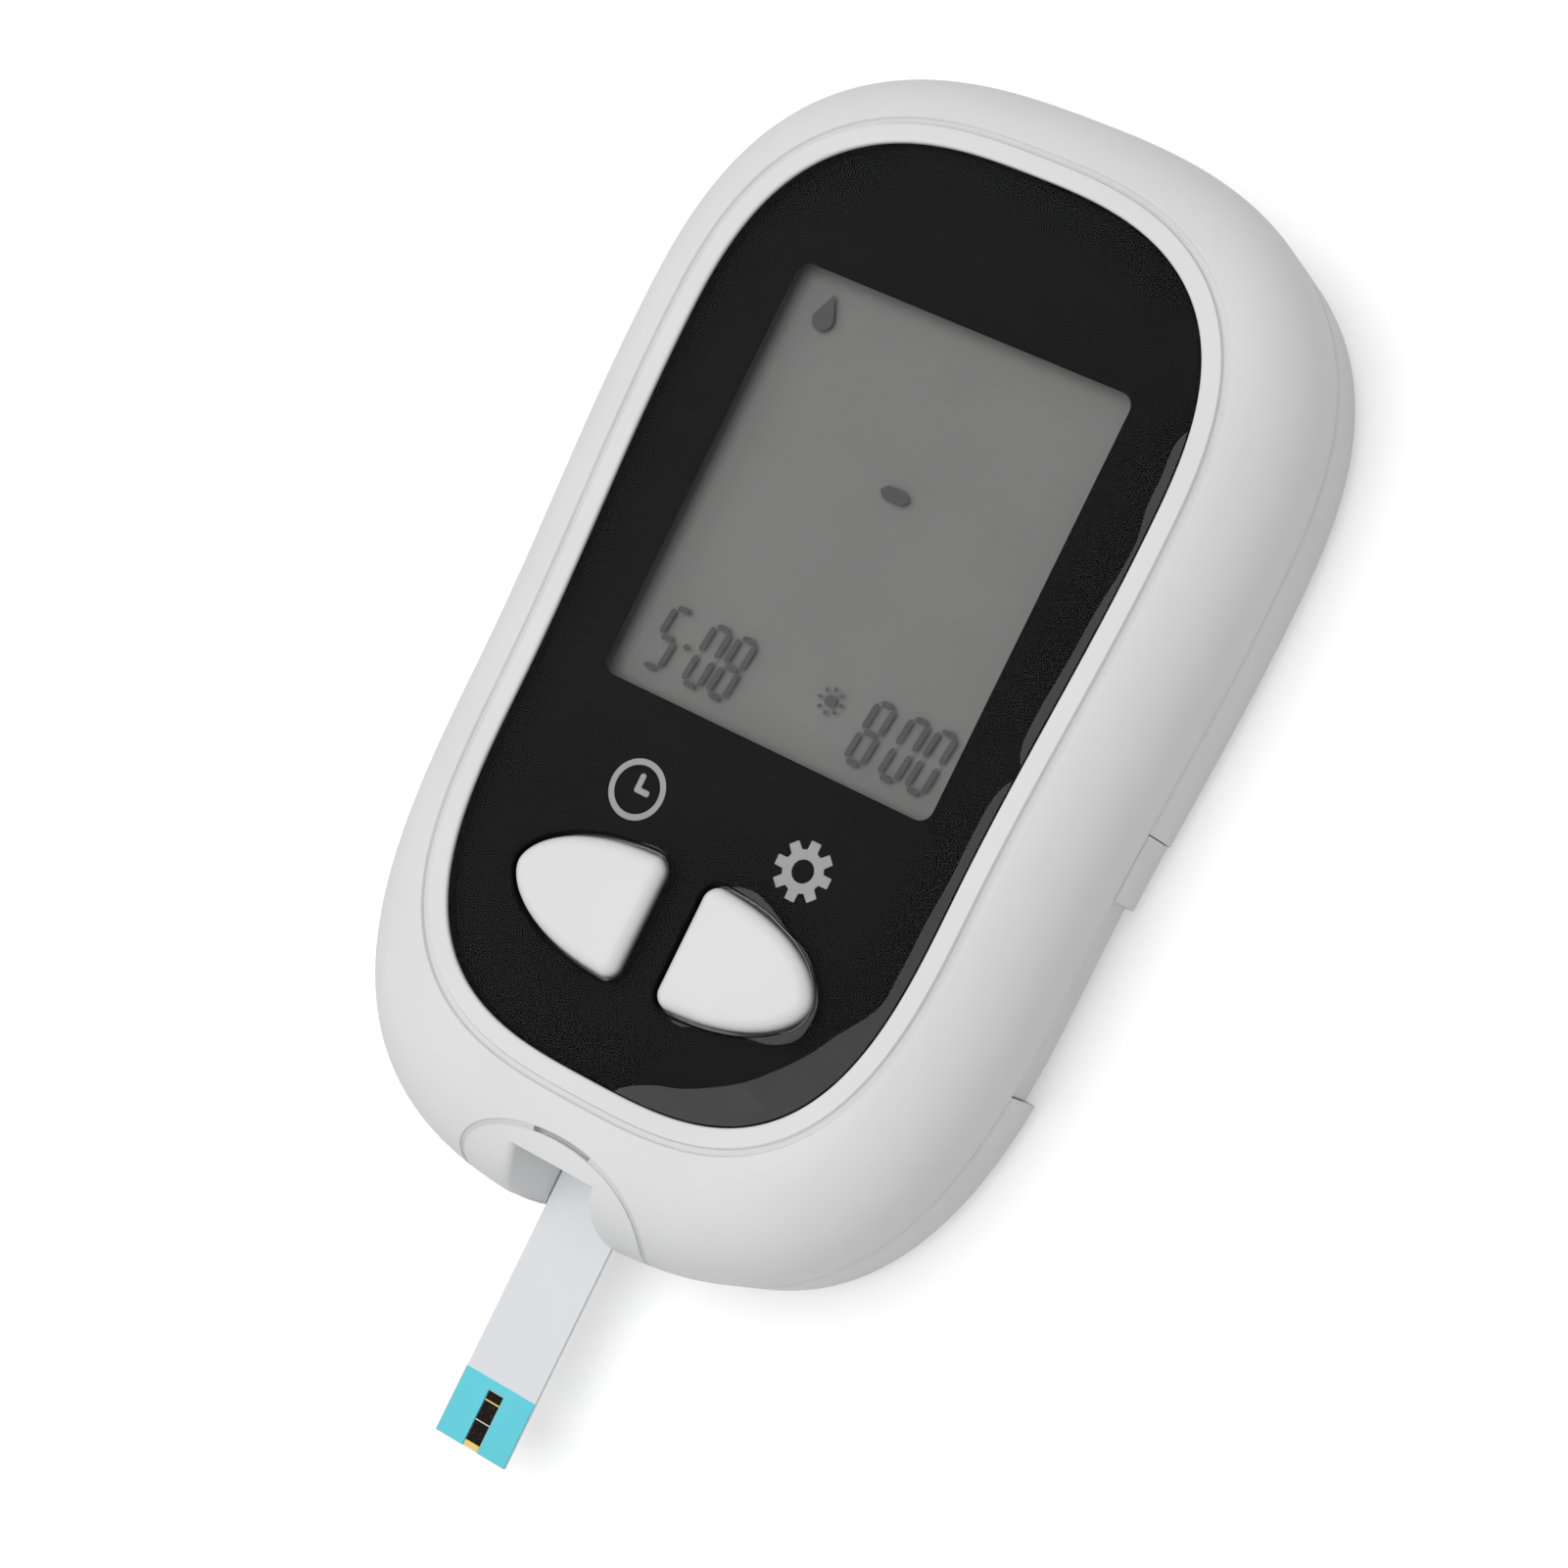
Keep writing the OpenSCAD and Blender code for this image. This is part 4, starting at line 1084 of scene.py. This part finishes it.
def under_window(x, y, level):
    """Moves a place read in the window's plane down its line of sight to another level."""
    eye = Vector(camera_place)
    share = (eye.z - level) / (eye.z - window_bottom)
    return np.array([eye.x + (x - eye.x) * share, eye.y + (y - eye.y) * share])


segment_dark = moulded_plastic("segment_dark", (0.085, 0.085, 0.085), 0.6, grain=0.0000002, spread=0.05)
segment_thickness = 0.02
digit_width = 1.5
digit_height = 5.13
stroke = 0.5
slant = 0.115
stroke_gap = 0.14
# The seven strokes of a digit: ends in shares of its width and half heights
strokes = {
    "a": ((0, 1), (1, 1)), "b": ((1, 1), (1, 0)), "c": ((1, 0), (1, -1)), "d": ((0, -1), (1, -1)),
    "e": ((0, 0), (0, -1)), "f": ((0, 1), (0, 0)), "g": ((0, 0), (1, 0)),
}
lit = {"5": "afgcd", "0": "abcdef", "8": "abcdefg", "-": "g"}


def stroke_outline(start, end, width=stroke):
    """Six-sided stroke between two points."""
    start = np.array(start, float)
    end = np.array(end, float)
    along = (end - start) / np.linalg.norm(end - start)
    side = np.array([-along[1], along[0]]) * width / 2
    near = start + along * stroke_gap
    far = end - along * stroke_gap
    step = along * width / 2
    lower = [near, near + step - side, far - step - side]
    upper = [far, far - step + side, near + step + side]
    return np.array(lower + upper)


def digit(symbol, x, y):
    """Outlines of the strokes of one digit whose left strokes stand at x; y is its middle."""
    outlines = []
    for key in lit[symbol]:
        ends = []
        for across, up in strokes[key]:
            height = up * digit_height / 2
            ends.append((x + across * digit_width + slant * height, y + height))
        outlines.append(stroke_outline(*ends))
    return outlines


def segments(name, outlines):
    """One piece of flat display segments from outlines read in the window's plane."""
    points = []
    faces = []
    for outline_points in outlines:
        first = len(points)
        count = len(outline_points)
        ring = np.array([under_window(x, y, segment_level) for x, y in outline_points])
        points.extend(at_level(ring, segment_level - segment_thickness) * mm)
        points.extend(at_level(ring, segment_level) * mm)
        faces.append(tuple(range(first + count - 1, first - 1, -1)))
        faces.append(tuple(range(first + count, first + 2 * count)))
        for i in range(count):
            j = (i + 1) % count
            faces.append((first + i, first + j, first + count + j, first + count + i))
    dress(mesh_piece(name, points, faces), "housing", segment_dark)


row_y = -13.71
left_digits = digit("5", -12.3, row_y) + digit("0", -8.45, row_y) + digit("8", -6.0, row_y)
left_digits.append(stroke_outline((-10.15, row_y), (-9.2, row_y)))
right_digits = digit("8", 7.2, row_y) + digit("0", 10.35, row_y) + digit("0", 12.85, row_y)
segments("date_digits", left_digits)
segments("time_digits", right_digits)
segments("result_bar", [stroke_outline((-0.65, 3.9), (2.4, 3.9), width=1.15)])


def drop_outline(x, y, radius=0.95, tip=2.2):
    """Outline of a drop: most of a circle, with a tip above it."""
    a = np.radians(np.linspace(-215, 35, 15))
    round_part = np.stack([x + radius * np.cos(a), y + radius * np.sin(a)], 1)
    return np.concatenate([round_part, [(x, y + tip)]])


segments("drop_symbol", [drop_outline(-11.6, 14.4)])
sun_middle = np.array([3.7, -12.7])
sun = [circle(*sun_middle, 0.5, 20)]
for a in np.linspace(0, 2 * math.pi, 8, endpoint=False):
    ray_direction = np.array([math.cos(a), math.sin(a)])
    ray_ends = [sun_middle + reach * ray_direction for reach in (0.62, 1.35)]
    sun.append(stroke_outline(*ray_ends, width=0.26))
segments("sun_symbol", sun)


# ---------- Display holder and elastomer connectors ----------
# A white moulded frame keeps the glass in place over the board. Two strips of striped silicone rubber
# carry the display's signals up from the board.

holder_white = moulded_plastic("holder_white", (0.72, 0.72, 0.70), 0.5)
finish_node("lcd_holder", holder_white)

zebra_rubber, zebra_tree, zebra_shader = new_material("zebra_rubber")
zebra_shader.inputs["Roughness"].default_value = 0.75
zebra_place = zebra_tree.nodes.new("ShaderNodeTexCoord")
zebra_wave = zebra_tree.nodes.new("ShaderNodeTexWave")
zebra_wave.inputs["Scale"].default_value = 1600
wire(zebra_tree, zebra_place.outputs["Object"], zebra_wave.inputs["Vector"])
zebra_tone = shades(zebra_tree, zebra_wave, (0.03, 0.03, 0.03), (0.62, 0.42, 0.42), 0.4, 0.6)
wire(zebra_tree, zebra_tone.outputs["Color"], zebra_shader.inputs["Base Color"])
for end in ("upper", "lower"):
    finish_node(end + "_zebra_strip", zebra_rubber)


# ---------- Circuit board ----------
# Green glass-fibre board, with its small parts soldered on the underside.

board_green, board_tree, board_shader = new_material("board_green")
board_shader.inputs["Roughness"].default_value = 0.35
board_place = board_tree.nodes.new("ShaderNodeTexCoord")
board_tracks = board_tree.nodes.new("ShaderNodeTexBrick")
board_tracks.inputs["Scale"].default_value = 260
board_tracks.inputs["Mortar Size"].default_value = 0.06
board_tracks.inputs["Color1"].default_value = (0.02, 0.14, 0.045, 1)
board_tracks.inputs["Color2"].default_value = (0.022, 0.16, 0.05, 1)
board_tracks.inputs["Mortar"].default_value = (0.05, 0.26, 0.09, 1)
wire(board_tree, board_place.outputs["Object"], board_tracks.inputs["Vector"])
wire(board_tree, board_tracks.outputs["Color"], board_shader.inputs["Base Color"])
bump(board_tree, board_shader, noise(board_tree, 3000, 2), 0.000004)
finish_node("circuit_board", board_green)


def metal(name, colour, roughness):
    """Bare or plated metal, faintly stained and brushed."""
    made, tree, shader = new_material(name)
    shader.inputs["Metallic"].default_value = 1
    tone = shades(tree, noise(tree, 400, 3), [c * 0.9 for c in colour], colour)
    wire(tree, tone.outputs["Color"], shader.inputs["Base Color"])
    uneven_sheen(tree, shader, 700, roughness - 0.06, roughness + 0.08)
    bump(tree, shader, noise(tree, 4000), 0.0000015)
    return made


tinned_metal = metal("tinned_metal", (0.72, 0.72, 0.70), 0.3)
gold_plate = metal("gold_plate", (0.83, 0.62, 0.22), 0.28)
black_resin = moulded_plastic("black_resin", (0.018, 0.018, 0.02), 0.55, grain=0.000006, spread=0.15)
for chip in ("processor_chip", "amplifier_chip", "memory_chip", "buzzer"):
    finish_node(chip, black_resin)
finish_node("clock_crystal", tinned_metal)
tantalum_orange = moulded_plastic("tantalum_orange", (0.55, 0.26, 0.05), 0.5, spread=0.1)
finish_node("filter_capacitor", tantalum_orange)
finish_node("chip_resistors", black_resin)
for word in ("left", "right"):
    finish_node(word + "_switch", tinned_metal)
    finish_node(word + "_switch_plunger", black_resin)


# ---------- Strip connector ----------
# White moulded socket under the board with five gilt leaf springs.

connector_white = moulded_plastic("connector_white", (0.78, 0.77, 0.73), 0.5)
finish_node("strip_connector", connector_white)
finish_node("strip_contacts", gold_plate)


# ---------- Test strip ----------
# Laminated polyester strip: white base, gold tracks, a white insulating layer and a turquoise end
# with the dark reaction window.

strip_white = moulded_plastic("strip_white", (0.79, 0.795, 0.83), 0.32, grain=0.0000005, spread=0.01)
strip_teal = moulded_plastic("strip_teal", (0.135, 0.66, 0.76), 0.38, grain=0.000001, spread=0.03)
reagent_dark, reagent_tree, reagent_shader = new_material("reagent_dark")
reagent_shader.inputs["Roughness"].default_value = 0.55
reagent_shader.inputs["Specular IOR Level"].default_value = 0.1
reagent_flecks = noise(reagent_tree, 2600, 4, 0.7)
reagent_black = (0.008, 0.006, 0.005)
reagent_brown = (0.09, 0.055, 0.025)
reagent_tone = shades(reagent_tree, reagent_flecks, reagent_black, reagent_brown, 0.54, 0.8)
wire(reagent_tree, reagent_tone.outputs["Color"], reagent_shader.inputs["Base Color"])
finish_node("strip_base", strip_white)
finish_node("strip_insulation", strip_white)
finish_node("strip_electrodes", gold_plate)
finish_node("strip_cover", strip_teal)
finish_node("strip_reagent", reagent_dark)

reagent_low, reagent_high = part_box("strip_reagent")
window_half = reagent_high[0] / mm
window_high = reagent_high[1] / mm
window_low = reagent_low[1] / mm
track_level = reagent_high[2] / mm


def track(name, low, high, material):
    """Printed track that shows across the reaction window; low and high are its edges along the strip."""
    bar = block((-window_half, low, track_level - 0.02), (window_half, high, track_level + 0.015))
    bar.name = name
    dress(bar, "test_strip", material)


track("mouth_track", window_low - 0.46, window_low + 0.05, gold_plate)
track("upper_track", window_high - 0.82, window_high - 0.70, gold_plate)
track("middle_track", window_high - 2.55, window_high - 2.47, strip_white)


# ---------- Batteries and contacts ----------
# Two AAA cells with plain jackets, held between nickel-plated springs, a link plate and terminals.

cell_end_gap = 1.2
jacket = moulded_plastic("cell_jacket", (0.16, 0.18, 0.21), 0.3, spread=0.05)
jacket_band = moulded_plastic("cell_jacket_band", (0.62, 0.63, 0.65), 0.3, spread=0.03)
cell_radius = cell_diameter / 2
band_length = 6
# Half section of a cell's positive end: distance from the tip of its button, and radius
positive_end = [
    (0, 1.5), (0.03, 1.72), (0.15, 1.88), (0.9, 1.9), (1.0, 2.1), (1.02, 4.3), (0.98, 4.6), (0.9, 4.85),
    (0.98, 5.05), (1.15, 5.2), (1.4, cell_radius), (1.45, cell_radius),
]
# Half section of its flat negative end: distance from that end, and radius
negative_end = [
    (0.4, cell_radius), (0.2, 5.17), (0.08, 5.0), (0.08, 4.75),
    (0.2, 4.5), (0.2, 3.9), (0.08, 3.7), (0, 3.4),
]
cell_profile = positive_end + [(band_length, cell_radius), (band_length + 0.05, cell_radius)]
cell_profile += [(cell_length - from_end, radius) for from_end, radius in negative_end]
for name, direction in (("upper_cell", 1), ("lower_cell", -1)):
    tip_x = -direction * (bay_half - cell_end_gap)
    middle_y = bay_centre + direction * cell_spacing / 2
    rings = []
    for along, radius in cell_profile:
        turned = circle(0, 0, radius, 56)
        rings.append(np.column_stack([
            np.full(len(turned), tip_x + direction * along),
            middle_y + turned[:, 0],
            cell_level + direction * turned[:, 1],
        ]))
    cell = loft(name + "_jacketed", rings)
    dress(cell, "housing", jacket, [name])
    cell.data.materials.append(tinned_metal)
    cell.data.materials.append(jacket_band)
    for face in cell.data.polygons:
        along = abs(face.center.x / mm - tip_x)
        if along < 0.95 or along > cell_length - 0.25:
            face.material_index = 1
        elif along < band_length:
            face.material_index = 2
for name in ("upper_cell_spring", "lower_cell_spring", "cell_link_plate"):
    finish_node(name, tinned_metal)
for name in ("positive_terminal", "negative_terminal"):
    finish_node(name, tinned_metal)


# ---------- Screws ----------
# Cross-head screws close the housing from the back and hold the board.

for name in ("housing_screws", "board_screws"):
    finish_node(name, tinned_metal)
